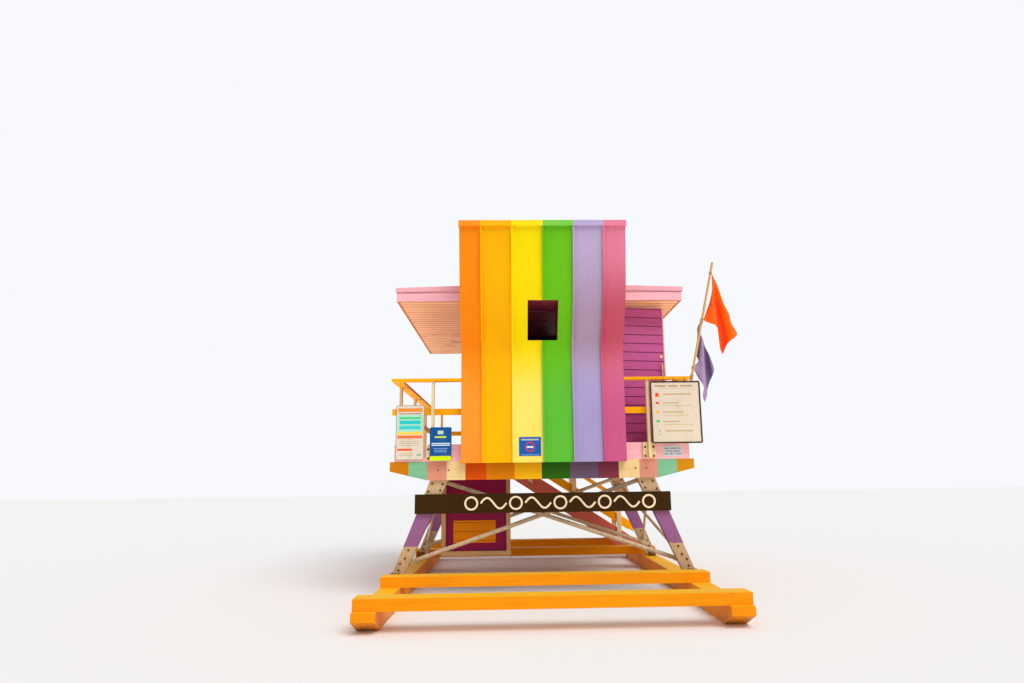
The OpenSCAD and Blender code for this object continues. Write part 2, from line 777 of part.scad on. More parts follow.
// A band along the stair's slope, from low to high above the stringer's top edge
module slope_band(low, high, x0, x1) {
    z0 = pitch_z(x0) + stringer_up;
    z1 = pitch_z(x1) + stringer_up;
    polygon([[x0, z0 + low], [x1, z1 + low], [x1, z1 + high], [x0, z0 + high]]);
}

// The stringers' feet are cut level where they stand on the skid
module stair_stringers() {
    color("#b5524a") for (y = [stair_y, stair_y + stair_w - stringer_t])
        along_y(y, y + stringer_t) intersection() {
            slope_band(-stringer_h / cos(stair_a), 0, -stair_x, stair_x1 + going);
            translate([-stair_x, skid_h]) square([stair_end_x + stair_x, far]);
        }
}

module stair_treads() {
    y0 = stair_y + stringer_t;
    y1 = stair_y + stair_w - stringer_t;
    color("#c8824a") for (i = [1 : risers - 1])
        slab([-stair_x + (i - 1) * going, y0, deck_z - i * rise - stringer_t],
            [-stair_x + i * going, y1, deck_z - i * rise]);
}

// The guard of the near stringer, with its posts on the stringer's outer face
module stair_guard() {
    y = stair_y - stringer_t;
    x0 = -stair_x + rail_w;
    x1 = stair_x1 - 2 * rail_w;
    color("#ffa000") {
        for (i = [0 : 2]) let (x = -stair_x + stair_post_x + i * stair_post_pitch - rail_w / 2)
            along_y(y, stair_y) intersection() {
                slope_band(-stair_post_drop, stair_rail_h, x, x + rail_w);
                translate([x, -far]) square([rail_w, 2 * far]);
            }
        along_y(y, y + rail_w) slope_band(stair_rail_h, stair_rail_h + rail_t / cos(stair_a), x0, x1);
        along_y(stair_y, stair_y + stringer_t)
            slope_band(stair_mid_h, stair_mid_h + stair_mid_w / cos(stair_a), x0, x1);
    }
}

module stair_rail_near() {
    stair_guard();
}

module stair_rail_far() {
    middle = stair_y + stair_w / 2;
    translate([0, middle, 0]) mirror([0, 1, 0]) translate([0, -middle, 0]) stair_guard();
}

// The floor at the top of the stair, with boards on its three open sides
module stair_landing() {
    color("#f9b8c0") {
        slab([-face_x, deck_y1, deck_z - floor_t], [-stair_x, sled_l / 2, deck_z]);
        for (x = [-face_x, -stair_x - rim_t]) slab([x, deck_y1, rim_z], [x + rim_t, sled_l / 2, deck_z]);
        slab([-face_x, sled_l / 2 - rim_t, rim_z], [-stair_x, sled_l / 2, deck_z]);
    }
}

// Flags
module pole_frame() {
    translate([pole_foot_x, pole_y, pole_foot_z]) rotate([0, pole_lean, 0]) children();
}

// The strap holds the pole against the middle rail
module flag_pole() {
    strap_v = (mid_z + rail_w / 2 - pole_foot_z) / cos(pole_lean);
    color("#c8a070") pole_frame() {
        cylinder(d = pole_d, h = pole_l);
        translate([0, 0, strap_v - strap_w / 2]) {
            cylinder(d = pole_d + 2 * strap_t, h = strap_w);
            slab([-pole_d, pole_d / 2, 0], [pole_d, pole_d / 2 + strap_t, strap_w]);
        }
    }
}

// A flag drawn in the pole's frame, from the depth y0
module flag(points, y0) {
    pole_frame() along_y(y0, y0 + flag_t) polygon(points);
}

// Tied to the pole at two corners of its hoist
module flag_orange() {
    color("#ff5a00") flag(concat([[hem, 0.937 * pole_l]], pole_l * orange_edge,
        [[hem, 0.667 * pole_l]], pole_l * orange_hoist), -flag_t / 2);
}

// Tied below it, and blown behind the pole
module flag_purple() {
    color("#7a5a8c") flag(pole_l * purple_edge, hem);
}

placed() skid(-1);  // skid_left
placed() skid(1);  // skid_right
placed() cross_beams(-1);  // cross_beams_land
placed() cross_beams(1);  // cross_beams_sea
placed() leg(-1, -1);  // leg_land_left
placed() leg(1, -1);  // leg_land_right
placed() leg(-1, 1);  // leg_sea_left
placed() leg(1, 1);  // leg_sea_right
placed() brace_end(-1);  // brace_land
placed() brace_end(1);  // brace_sea
placed() brace_side(-1);  // brace_left
placed() brace_side(1);  // brace_right
placed() name_board();
placed() deck_beam(-1);  // deck_beam_land
placed() deck_beam(1);  // deck_beam_sea
placed() deck_joists();
placed() deck_rim_long();
placed() deck_rim_short();
placed() deck_floor();
placed() railing_land();
placed() railing_left();
placed() railing_right();
placed() railing_sea();
placed() cabin_wall_land();
placed() cabin_wall_left();
placed() cabin_wall_sea();
placed() cabin_wall_right();
placed() cabin_door_head();
placed() wave_panel(0);  // wave_panel_1
placed() wave_panel(1);  // wave_panel_2
placed() wave_panel(2);  // wave_panel_3
placed() wave_panel(3);  // wave_panel_4
placed() wave_panel(4);  // wave_panel_5
placed() wave_panel(5);  // wave_panel_6
placed() wave_frames();
placed() wave_cap();
placed() window_lining();
placed() roof_soffit();
placed() roof_fascia_long();
placed() roof_fascia_short();
placed() roof_top();
placed() door_leaf();
placed() door_hardware();
placed() door_hinges();
placed() locker_frame();
placed() locker_case();
placed() locker_front();
placed() stair_stringers();
placed() stair_treads();
placed() stair_rail_near();
placed() stair_rail_far();
placed() stair_landing();
placed() flag_pole();
placed() flag_orange();
placed() flag_purple();
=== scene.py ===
# %% [markdown]
# # A beach lifeguard tower
# The tower stands on a timber sled, so that it can be dragged along the sand. Its rigid pieces come
# from the CAD model, already in place and in metres. This notebook dresses them: it gives every
# piece its paint, adds the boards, bolts, signs and flags, and sets the camera, floor and light.

# %% Load the frame
import json
from math import atan2, ceil, cos, hypot, pi, radians, sin, tau

import bmesh
import bpy
from mathutils import Euler, Matrix, Vector
from mathutils.geometry import delaunay_2d_cdt


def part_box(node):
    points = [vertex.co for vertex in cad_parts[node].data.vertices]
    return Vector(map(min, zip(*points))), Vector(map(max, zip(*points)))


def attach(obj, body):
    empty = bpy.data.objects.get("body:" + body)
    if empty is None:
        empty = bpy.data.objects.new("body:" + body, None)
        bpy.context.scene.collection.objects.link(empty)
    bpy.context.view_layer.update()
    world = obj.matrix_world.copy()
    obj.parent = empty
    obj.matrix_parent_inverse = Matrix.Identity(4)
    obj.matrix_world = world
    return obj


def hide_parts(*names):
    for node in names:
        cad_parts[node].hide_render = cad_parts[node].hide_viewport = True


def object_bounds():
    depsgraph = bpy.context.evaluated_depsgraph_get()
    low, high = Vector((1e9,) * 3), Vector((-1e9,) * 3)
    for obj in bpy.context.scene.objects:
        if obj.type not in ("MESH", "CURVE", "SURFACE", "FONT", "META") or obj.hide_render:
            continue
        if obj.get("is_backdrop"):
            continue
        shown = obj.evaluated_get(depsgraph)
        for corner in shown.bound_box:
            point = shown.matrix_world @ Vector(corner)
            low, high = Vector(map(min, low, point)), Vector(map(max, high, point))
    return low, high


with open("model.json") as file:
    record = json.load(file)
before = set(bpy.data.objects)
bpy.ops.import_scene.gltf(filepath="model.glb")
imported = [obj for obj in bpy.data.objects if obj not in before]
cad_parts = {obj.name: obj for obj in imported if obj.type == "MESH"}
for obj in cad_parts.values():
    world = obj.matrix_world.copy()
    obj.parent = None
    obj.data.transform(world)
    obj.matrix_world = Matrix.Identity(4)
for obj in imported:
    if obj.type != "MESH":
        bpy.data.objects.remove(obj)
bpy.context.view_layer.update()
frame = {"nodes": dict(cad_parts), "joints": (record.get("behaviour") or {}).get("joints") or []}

# %% [markdown]
# ## Where things are
# Sizes are read from the CAD pieces themselves, so a board or a bolt always sits on the piece that
# carries it. `low` and `high` are the corners of a node's box.

# %% Read the places of the main pieces
def box(node):
    low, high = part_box(node)
    return Vector(low), Vector(high)


PLANK = 0.038  # a sawn plank that is sold as two inches thick
STAIR_PITCH = 0.6393  # how far the stair climbs in one metre
rim_low, rim_high = box("deck_rim_long")
mid_x = (rim_low.x + rim_high.x) / 2
mid_y = (box("skid_left")[0].y + box("skid_left")[1].y) / 2
deck_z = rim_high.z
face_y = rim_low.y
print(f"middle {mid_x:.3f}, {mid_y:.3f}; deck {deck_z:.3f} high, its land face at {face_y:.3f}")

# %% [markdown]
# ## Camera
# The photograph was taken from the sand, a little left of the middle, looking up. The lens and the
# place come from fitting a pinhole camera to the tower's straight edges: 701 pixels of focal length
# on a frame of 1024 by 683, and an eye 1.62 m high.

# %% Set the camera
def add_object(name, data):
    thing = bpy.data.objects.new(name, data)
    bpy.context.scene.collection.objects.link(thing)
    return thing


camera_data = bpy.data.cameras.new("beach_eye")
camera_data.sensor_width = 36
camera_data.lens = 24.66
camera_data.shift_x = -0.01565
camera_data.shift_y = -0.00103
camera_data.clip_end = 200
camera = add_object("beach_eye", camera_data)
eye = Vector((mid_x - 0.4713, face_y - 9.9706, 1.6244))
camera.matrix_world = (Matrix.Translation(eye) @ Matrix.Rotation(radians(-1.6422), 4, "Z")
                       @ Matrix.Rotation(radians(101.0234), 4, "X")
                       @ Matrix.Rotation(radians(-0.7404), 4, "Z"))
bpy.context.scene.camera = camera
print("eye at", tuple(round(v, 3) for v in eye))

# %% [markdown]
# ## Node graphs as plain expressions
# Materials and Geometry Nodes are both graphs of nodes, so one class writes both. A `Wire` wraps
# one socket, so that `1 - mask` or `wear * 0.5` adds the Math node itself. A `Finish` is a
# material, and a `Tree` is a Geometry Nodes group with named inputs. Colours are mixed with Mix
# nodes, because a Math node would turn them grey. A colour may be given as a code such as
# "#c45a97", and is turned into linear light where it is fed to a socket.

# %% Turn a colour code into linear light
def linear(code):
    parts = [int(code[i:i + 2], 16) / 255 for i in (1, 3, 5)]
    return tuple(c / 12.92 if c <= 0.04045 else ((c + 0.055) / 1.055) ** 2.4 for c in parts) + (1,)


def skills(kind):
    return [name for name in vars(kind) if not name.startswith("_")]


print("a code of #808080 is", round(linear("#808080")[0], 3), "in linear light")

# %% Wrap a socket
class Wire:
    def __init__(self, graph, socket):
        self.graph, self.socket = graph, socket

    def math(self, operation, *values):
        return self.graph.add("Math", {"operation": operation}, *values)[0]

    def __add__(self, other): return self.math("ADD", self, other)
    def __radd__(self, other): return self.math("ADD", other, self)
    def __sub__(self, other): return self.math("SUBTRACT", self, other)
    def __rsub__(self, other): return self.math("SUBTRACT", other, self)
    def __mul__(self, other): return self.math("MULTIPLY", self, other)
    def __rmul__(self, other): return self.math("MULTIPLY", other, self)
    def __truediv__(self, other): return self.math("DIVIDE", self, other)
    def __gt__(self, other): return self.math("GREATER_THAN", self, other)
    def __lt__(self, other): return self.math("LESS_THAN", self, other)
    def __abs__(self): return self.math("ABSOLUTE", self)

    def step(self, start, end):
        """0 below start, 1 above end, and a smooth slope between them."""
        settings = {"interpolation_type": "SMOOTHSTEP"}
        return self.graph.add("MapRange", settings, self, start, end, 0.0, 1.0)[0]

    def fract(self):
        """The part after the whole number, which turns a distance into a repeating 0 to 1."""
        return self.math("FRACT", self)


print("beside its operators, a wire has", skills(Wire))

# %% Write a graph
class Graph:
    def add(self, kind, settings, *values, **named):
        """Adds a node by its short name, with its settings, and feeds its sockets that aren't None."""
        families = [family + kind for family in ("ShaderNode", "GeometryNode", "FunctionNode")]
        node = self.nodes.new(next(name for name in families if hasattr(bpy.types, name)))
        for key, value in settings.items():
            setattr(node, key, value)
        fed = list(zip([s for s in node.inputs if s.enabled], values))
        fed += [(node.inputs[key.replace("_", " ")], value) for key, value in named.items()]
        for socket, value in fed:
            self.feed(socket, value)
        return [Wire(self, s) for s in node.outputs if s.enabled]

    def feed(self, socket, value):
        if isinstance(value, Wire):
            self.links.new(value.socket, socket)
        elif value is not None:
            code = isinstance(value, str) and value.startswith("#")
            socket.default_value = linear(value) if code else value


print("any graph has", skills(Graph))

# %% Define a finish
class Finish(Graph):
    def __init__(self, name):
        self.material = bpy.data.materials.new(name)
        self.material.use_nodes = True
        self.nodes, self.links = self.material.node_tree.nodes, self.material.node_tree.links
        self.shader = self.nodes["Principled BSDF"]

    def place(self, scale=(1, 1, 1), turn=(0, 0, 0)):
        """Object coordinates, stretched: a small scale draws the pattern out along that axis."""
        return self.add("Mapping", {}, self.add("TexCoord", {})[3], (0, 0, 0), turn, scale)[0]

    def axis(self, letter):
        return self.add("SeparateXYZ", {}, self.place())["XYZ".index(letter)]

    def facing(self, letter):
        """How far the surface faces along an axis, from -1 to 1."""
        return self.add("SeparateXYZ", {}, self.add("NewGeometry", {})[1])["XYZ".index(letter)]

    def noise(self, scale, detail=3.0, rough=0.5, stretch=(1, 1, 1)):
        return self.add("TexNoise", {}, self.place(stretch), Scale=scale, Detail=detail, Roughness=rough)[0]

    def named(self, attribute):
        return self.add("Attribute", {"attribute_name": attribute})

    def mix(self, mask, first, second, blend="MIX"):
        return self.add("Mix", {"data_type": "RGBA", "blend_type": blend}, mask, first, second)[0]

    def darker(self, mask, colour, shade):
        return self.mix(mask, colour, shade, "MULTIPLY")

    def coat(self, colour, rough, bump=None, height=0.0012, metal=0.0, gloss=0.08):
        """A low gloss keeps a bright paint as bright as its code, because glare adds white to it."""
        self.shader.inputs["Specular IOR Level"].default_value = gloss
        for name, value in (("Base Color", colour), ("Roughness", rough), ("Metallic", metal)):
            self.feed(self.shader.inputs[name], value)
        if bump is not None:
            normal = self.add("Bump", {}, Height=bump, Distance=height, Strength=1.0)[0]
            self.feed(self.shader.inputs["Normal"], normal)
        return self.material


print("a finish has", skills(Finish))

# %% Define a tree
class Tree(Graph):
    def __init__(self, name, **kinds):
        self.group = bpy.data.node_groups.new(name, "GeometryNodeTree")
        self.nodes, self.links = self.group.nodes, self.group.links
        new_socket = self.group.interface.new_socket
        new_socket("Geometry", in_out="OUTPUT", socket_type="NodeSocketGeometry")
        for key, kind in {"Geometry": "Geometry", **kinds, "Material": "Material"}.items():
            new_socket(key, in_out="INPUT", socket_type="NodeSocket" + kind)
        outputs = self.nodes.new("NodeGroupInput").outputs
        self.inputs = {s.name: Wire(self, s) for s in outputs if s.name}

    def __getitem__(self, key):
        return self.inputs[key]

    def row(self, attribute):
        """A vector that each point of the source mesh carries."""
        return self.add("InputNamedAttribute", {"data_type": "FLOAT_VECTOR"}, attribute)[0]

    def random(self):
        """A random number between 0 and 1 for each copy, from the tree's seed."""
        return self.add("RandomValue", {"data_type": "FLOAT"}, 0.0, 1.0, Seed=self["Seed"])[0]

    def copies(self, points, shape, turn=None, size=None):
        """Puts the shape on every point, and gives each copy its own shade between 0 and 1."""
        copies = self.add("InstanceOnPoints", {}, points, None, shape, Rotation=turn, Scale=size)[0]
        settings = {"data_type": "FLOAT", "domain": "INSTANCE"}
        return self.add("StoreNamedAttribute", settings, copies, None, "shade", self.random())[0]

    def sweep(self, section):
        """Carries a section along the path that the tree grows from."""
        spine = self.add("MeshToCurve", {}, self["Geometry"])[0]
        return self.add("CurveToMesh", {}, Curve=spine, Profile_Curve=section, Fill_Caps=True)[0]

    def join(self, *parts):
        node = self.nodes.new("GeometryNodeJoinGeometry")
        for part in parts:
            self.feed(node.inputs[0], part)
        return Wire(self, node.outputs[0])

    def close(self, geometry):
        real = self.add("RealizeInstances", {}, geometry)[0]
        dressed = self.add("SetMaterial", {}, real, None, self["Material"])[0]
        self.feed(self.nodes.new("NodeGroupOutput").inputs[0], dressed)


print("a tree has", skills(Tree))

# %% [markdown]
# ## Growing a piece from a tree
# A tree needs something to grow from: a cloud of points that carry a size and a turn, or the edges
# of a path. `grow` runs the tree once and keeps plain mesh, so the finished piece has no modifier
# and nothing that an export would drop. `mount` says which body the piece moves with, and hides
# the CAD pieces it stands in for.

# %% Define what a tree grows from
COLUMNS = (("size", "FLOAT_VECTOR", "vector", (1, 1, 1)), ("turn", "FLOAT_VECTOR", "vector", (0, 0, 0)),
           ("paint", "FLOAT_COLOR", "color", "#ffffff"))


def cloud(rows):
    """rows are (place, size, turn, colour); a point carries them as attributes."""
    mesh = bpy.data.meshes.new("cloud")
    mesh.from_pydata([row[0] for row in rows], [], [])
    for column, (name, kind, field, plain) in enumerate(COLUMNS, 1):
        layer = mesh.attributes.new(name, kind, "POINT")
        for number, row in enumerate(rows):
            value = row[column] if len(row) > column else plain
            setattr(layer.data[number], field, linear(value) if field == "color" else value)
    return mesh


def path_mesh(*paths):
    """Each path is (points, closed), and becomes a chain of edges."""
    places, edges = [], []
    for points, closed in paths:
        first = len(places)
        places += points
        edges += [(first + i, first + i + 1) for i in range(len(points) - 1)]
        edges += [(first + len(points) - 1, first)] * closed
    mesh = bpy.data.meshes.new("path")
    mesh.from_pydata(places, edges, [])
    return mesh


print("each point of a cloud carries", [name for name, *_ in COLUMNS])

# %% Grow, soften and mount a piece
def grow(tree, name, source, material, **sizes):
    maker = add_object(name, source)
    modifier = maker.modifiers.new("grow", "NODES")
    modifier.node_group = tree.group
    sizes["Material"] = material
    for item in tree.group.interface.items_tree:
        if item.in_out == "INPUT" and item.name in sizes:
            modifier[item.identifier] = sizes[item.name]
    evaluated = maker.evaluated_get(bpy.context.evaluated_depsgraph_get())
    mesh = bpy.data.meshes.new_from_object(evaluated)
    maker.modifiers.clear()
    maker.data = mesh
    return maker


def soften(piece, width):
    bevel = piece.modifiers.new("edge", "BEVEL")
    bevel.width, bevel.limit_method = width, "ANGLE"
    return piece


def mount(piece, body="tower", instead_of=()):
    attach(piece, body)
    if instead_of:
        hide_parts(*instead_of)
    print(piece.name, "on", body, "with", len(piece.data.polygons), "faces")


# %% [markdown]
# ## The trees
# Six short trees make everything that repeats. `laid_boards` lays equal boards side by side.
# `placed_blocks` puts a block at every point of a cloud. `lap_boards` does the same with a
# wedge, thicker at its lower edge, as siding is. `bolt_heads` sets a six-sided head on a washer.
# `swept_bar` and `swept_rope` draw a square or a round section along a path. `blocks` is the
# shortest way to a piece made of blocks: it grows them, rounds their edges and mounts them.

# %% Build the trees
laid = Tree("laid_boards", Count="Int", Start="Vector", Step="Vector", Size="Vector", Seed="Int")
line = laid.add("MeshLine", {"mode": "OFFSET"}, Count=laid["Count"],
                Start_Location=laid["Start"], Offset=laid["Step"])[0]
laid.close(laid.copies(line, laid.add("MeshCube", {}, laid["Size"])[0]))

placed = Tree("placed_blocks", Seed="Int")
unit = placed.add("MeshCube", {}, (1, 1, 1))[0]
placed.close(placed.copies(placed["Geometry"], unit, placed.row("turn"), placed.row("size")))

lapped = Tree("lap_boards", Butt="Float", Top="Float", Seed="Int")
unit = lapped.add("MeshCube", {}, (1, 1, 1))[0]
x, y, z = lapped.add("SeparateXYZ", {}, lapped.add("InputPosition", {})[0])
out = (y < 0.0) * (lapped["Top"] + (lapped["Butt"] - lapped["Top"]) * (0.5 - z))
moved = lapped.add("CombineXYZ", {}, x, 0.002 - out, z)[0]
wedge = lapped.add("SetPosition", {}, unit, None, moved)[0]
lapped.close(lapped.copies(lapped["Geometry"], wedge, lapped.row("turn"), lapped.row("size")))

bolts = Tree("bolt_heads", Head="Float", Seed="Int")
HEX_CORNER, HEAD_DEPTH, HEAD_LIFT, WASHER_DEPTH = 0.577, 0.6, 0.35, 0.24  # shares of the head's width
width = bolts["Head"]
head = bolts.add("MeshCylinder", {}, 6, None, None, width * HEX_CORNER, width * HEAD_DEPTH)[0]
lift = bolts.add("CombineXYZ", {}, 0.0, 0.0, width * HEAD_LIFT)[0]
head = bolts.add("Transform", {}, head, Translation=lift)[0]
washer = bolts.add("MeshCylinder", {}, 16, None, None, width, width * WASHER_DEPTH)[0]
spun = bolts.copies(bolts["Geometry"], bolts.join(head, washer), bolts.row("turn"))
spin = bolts.add("CombineXYZ", {}, 0.0, 0.0, bolts.random())[0]
bolts.close(bolts.add("RotateInstances", {}, spun, Rotation=spin)[0])

swept_bar = Tree("swept_bar", Depth="Float", Stroke="Float")
section = swept_bar.add("CurvePrimitiveQuadrilateral", {}, swept_bar["Depth"], swept_bar["Stroke"])[0]
swept_bar.close(swept_bar.sweep(section))

swept_rope = Tree("swept_rope", Radius="Float", Sides="Int")
section = swept_rope.add("CurvePrimitiveCircle", {}, swept_rope["Sides"], Radius=swept_rope["Radius"])[0]
swept_rope.close(swept_rope.add("SetShadeSmooth", {}, swept_rope.sweep(section))[0])


def blocks(name, rows, material, seed, edge=0.002, instead_of=()):
    piece = grow(placed, name, cloud(rows), material, Seed=seed)
    mount(soften(piece, edge) if edge else piece, instead_of=instead_of)


print([tree.group.name for tree in (laid, placed, lapped, bolts, swept_bar, swept_rope)])

# %% [markdown]
# ## Painted timber
# Most of the tower is softwood under thick bright paint that salt and sand have worked on. The
# grain runs along the board, so the noise is drawn out along that axis. Broad patches shift the
# colour a little, thin streaks follow the grain, and where a second, finer noise is highest the
# paint has flaked off to grey wood.

# %% Make painted timber
GRAIN = {"X": (1.2, 26, 26), "Y": (26, 1.2, 26), "Z": (26, 26, 1.2)}


def timber_layers(finish, colour, along, wear, dirt, boards=False):
    """Returns the colour, the roughness and the height of worn paint over grain."""
    grain = finish.noise(1.6, 5.0, 0.6, GRAIN[along])
    patches = finish.noise(1.4, 3.0)
    fine = finish.noise(5.0, 3.0, 0.65, GRAIN[along])
    flakes = finish.noise(6.0, 8.0, 0.7, [v ** 0.45 for v in GRAIN[along]])
    bare = flakes.step(0.74 - 0.16 * wear, 0.78 - 0.16 * wear)
    shade = finish.darker(patches.step(0.35, 0.75) * 0.5, colour, (0.80, 0.80, 0.82, 1))
    shade = finish.darker(grain.step(0.45, 0.8) * 0.55, shade, (0.70, 0.68, 0.66, 1))
    if boards:
        shade = finish.darker(finish.named("shade")[2] * 0.35, shade, (0.72, 0.70, 0.70, 1))
    shade = finish.mix(fine.step(0.55, 0.8) * dirt * 0.5, shade, "#6e5a48")
    shade = finish.mix(bare, shade, "#a88c6c")
    return shade, 0.42 + patches * 0.18 + bare * 0.3, grain * 0.6 - bare * 0.8 + fine * 0.3


def painted_timber(name, code, along="X", wear=0.3, dirt=0.4, boards=False):
    finish = Finish(name)
    return finish.coat(*timber_layers(finish, code, along, wear, dirt, boards))


# name, colour, direction of the grain, wear, dirt, whether each board has its own shade
paints = {key: painted_timber(*row) for key, row in {
    "siding": ("siding_magenta", "#c45a97", "Y", 0.12, 0.3, True),
    "siding_x": ("siding_magenta_land", "#c45a97", "X", 0.12, 0.3, True),
    "rim": ("rim_pink", "#ffbcc4", "X", 0.15, 0.2),
    "rim_y": ("rim_pink_side", "#ffbcc4", "Y", 0.15, 0.2),
    "cream": ("post_cream", "#f0d6a4", "Z", 0.2, 0.4),
    "joist": ("joist_salmon", "#c87c54", "Y", 0.4, 0.5),
    "locker_cream": ("locker_cream", "#cfa774", "Z", 0.25, 0.6),
    "locker_plum": ("locker_plum", "#9e2258", "Z", 0.12, 0.5),
    "locker_orange": ("locker_orange", "#ff9808", "X", 0.15, 0.4, True),
    "stringer": ("stringer_salmon", "#da705e", "X", 0.3, 0.4),
    "tread": ("tread_wood", "#c08a58", "Y", 0.5, 0.6),
    "lining": ("lining_maroon", "#6a1c38", "Z", 0.1, 0.4),
    "frame": ("frame_wood", "#c8a070", "Z", 0.2, 0.4),
    "board": ("board_brown", "#3a2406", "X", 0.05, 0.2),
    "motif": ("motif_cream", "#ffe8c4", "X", 0.1, 0.2),
    "deck": ("deck_wood", "#d8b890", "X", 0.3, 0.6, True),
    "pole": ("pole_wood", "#d8ac6c", "Z", 0.2, 0.4),
}.items()}
print(len(paints), "painted woods")


# %% [markdown]
# ## Dressing the CAD pieces
# Most CAD pieces have the right shape already, so they keep it and only get a new material in their
# slots. One function does that for several pieces at a time.

# %% Dress the plain timber
def dress(material, nodes):
    """nodes are the names of CAD pieces, with spaces between them."""
    for node in nodes.split():
        piece = frame["nodes"][node]
        if not piece.material_slots:
            piece.data.materials.append(material)
        for slot in piece.material_slots:
            slot.material = material
    print(material.name, "on", nodes)


for key, nodes in {"siding_x": "door_leaf", "rim": "deck_rim_long stair_landing",
                   "rim_y": "deck_rim_short", "joist": "deck_joists", "locker_cream": "locker_frame",
                   "locker_plum": "locker_case", "stringer": "stair_stringers", "tread": "stair_treads",
                   "frame": "wave_frames", "board": "name_board", "pole": "flag_pole"}.items():
    dress(paints[key], nodes)

# %% [markdown]
# ## Rails and posts
# A railing is one CAD piece, but its rails are orange and its posts are cream. The posts stand
# outside the rails, so a mask on the place tells them apart: for the land side, everything in front
# of the deck's face and below the top rail is a post. The stair's guards climb, so their heights
# are measured from the stair's slope.

# %% Paint the deck's rails
rail_low = box("railing_land")[1].z - PLANK
half_deck = (rim_high.x - rim_low.x) / 2


def rail_paint(name, along, posts, top=None):
    """posts and top make masks: where the posts stand, and what lies below the top rail."""
    finish = Finish(name)
    below = top(finish) if top else finish.axis("Z") < rail_low - 0.001
    colour = finish.mix(posts(finish) * below, "#ffae02", "#ecd2a0")
    return finish.coat(*timber_layers(finish, colour, along, 0.2, 0.3))


SEA_POSTS, LANDING_POSTS = (2.776, 2.87), 3.488


def sea_posts(finish):
    y = finish.axis("Y")
    return (y > SEA_POSTS[0]) * (y < SEA_POSTS[1]) + (y > LANDING_POSTS)


dress(rail_paint("rail_land", "X", lambda f: f.axis("Y") < face_y - 0.001), "railing_land")
dress(rail_paint("rail_side", "Y", lambda f: abs(f.axis("X") - mid_x) > half_deck + 0.001),
      "railing_left railing_right")
dress(rail_paint("rail_sea", "X", sea_posts), "railing_sea")

# %% Paint the stair's guards
MID_RAIL = 1.806, 1.974
HANDRAIL_FOOT = 2.281


def stair_rise(finish):
    """Height above the line of the stair's noses, plus that line's height at the tower's middle."""
    return finish.axis("Z") + (finish.axis("X") - mid_x) * STAIR_PITCH


def stair_posts(side, inner):
    """side is -1 on the guard near the deck and 1 on the far one; inner is where its posts begin."""
    def posts(finish):
        out = (finish.axis("Y") - inner) * side
        mid_band = (stair_rise(finish) > MID_RAIL[0]) * (stair_rise(finish) < MID_RAIL[1])
        return (out > 0.001) + (out > -0.001) * (1 - mid_band)
    return posts


def under_handrail(finish):
    return stair_rise(finish) < HANDRAIL_FOOT


near_posts = stair_posts(-1, box("stair_rail_near")[0].y + PLANK)
far_posts = stair_posts(1, box("stair_rail_far")[1].y - PLANK)
dress(rail_paint("rail_stair_near", "X", near_posts, under_handrail), "stair_rail_near")
dress(rail_paint("rail_stair_far", "X", far_posts, under_handrail), "stair_rail_far")

# %% [markdown]
# ## Striped sheet metal
# The tall wave-shaped wall is folded sheet metal in six colours, joined by standing seams. Sheet
# metal has no grain: it shows faint dents, long runs where rain has washed salt down, and a
# satin gloss. In the bend under the overhang the lilac and the pink are painted darker and deeper:
# that band is painted shade.

# %% Paint the wave wall
def sheet_metal(name, high_code, low_code, bend_shade_code):
    """The colour fades from high_code above the bend to low_code below it; the bend itself takes the third
    code, a darker colour that is painted shade.
    """
    finish = Finish(name)
    dents = finish.noise(2.2, 2.0, stretch=(1.6, 1.6, 0.7))
    runs = finish.noise(1.0, 4.0, 0.6, (34, 34, 0.8))
    salt = finish.noise(40.0, 3.0, 0.7)
    height_z = finish.axis("Z")
    fade = (height_z + dents * 0.5).step(2.7, 4.2)
    shade = finish.mix(fade, low_code, high_code)
    # in the bend under the overhang the colour is painted darker: painted shade
    bend = height_z.step(2.8, 3.6) * (1 - height_z.step(3.8, 4.8))
    shade = finish.mix(bend, shade, bend_shade_code)
    shade = finish.darker(dents.step(0.3, 0.75) * 0.35, shade, (0.86, 0.86, 0.88, 1))
    shade = finish.darker(runs.step(0.52, 0.8) * 0.5, shade, (0.80, 0.78, 0.76, 1))
    shade = finish.mix(salt.step(0.66, 0.8) * 0.1, shade, "#f4eee2")
    return finish.coat(shade, 0.36 + runs * 0.2, dents + salt * 0.02, 0.004)


stripes = "#ff8e10 #ffb800 #ffe200 #6cc41a #bfaccf #ea829c".split()
stripes_low = "#ff982e #ffba00 #ffe86a #60c038 #a89ccc #cc5a88".split()
# the colours for the band in the bend are painted shade
stripes_bend_shade = "#ff8c0c #ffb800 #ffe200 #6cc41a #b299b5 #cb556c".split()
for number, codes in enumerate(zip(stripes, stripes_low, stripes_bend_shade), 1):
    dress(sheet_metal(f"stripe_{number}", *codes), f"wave_panel_{number}")
dress(sheet_metal("roof_skin", "#f4b0ba", "#f4b0ba", "#f4b0ba"), "roof_top")

# %% [markdown]
# ## Blocks of colour
# The deck beam and the cap of the wave wall are painted in blocks. A colour ramp with constant
# steps does this: it turns the place along X into a colour, so each edge is one stop.

# %% Paint the deck beams in blocks
def block_colours(finish, edges, end, codes):
    """edges are places along X at which each colour starts, and the last one stops at the end."""
    low, length = edges[0], end - edges[0]
    along = (finish.axis("X") - low) / length
    ramp = finish.add("ValToRGB", {}, along)[0]
    stops = ramp.socket.node.color_ramp
    stops.interpolation = "CONSTANT"
    for number, (edge, code) in enumerate(zip(edges, codes)):
        stop = stops.elements[number] if number < 2 else stops.elements.new(1.0)
        stop.position = (edge - low) / length
        stop.color = linear(code)
    return ramp


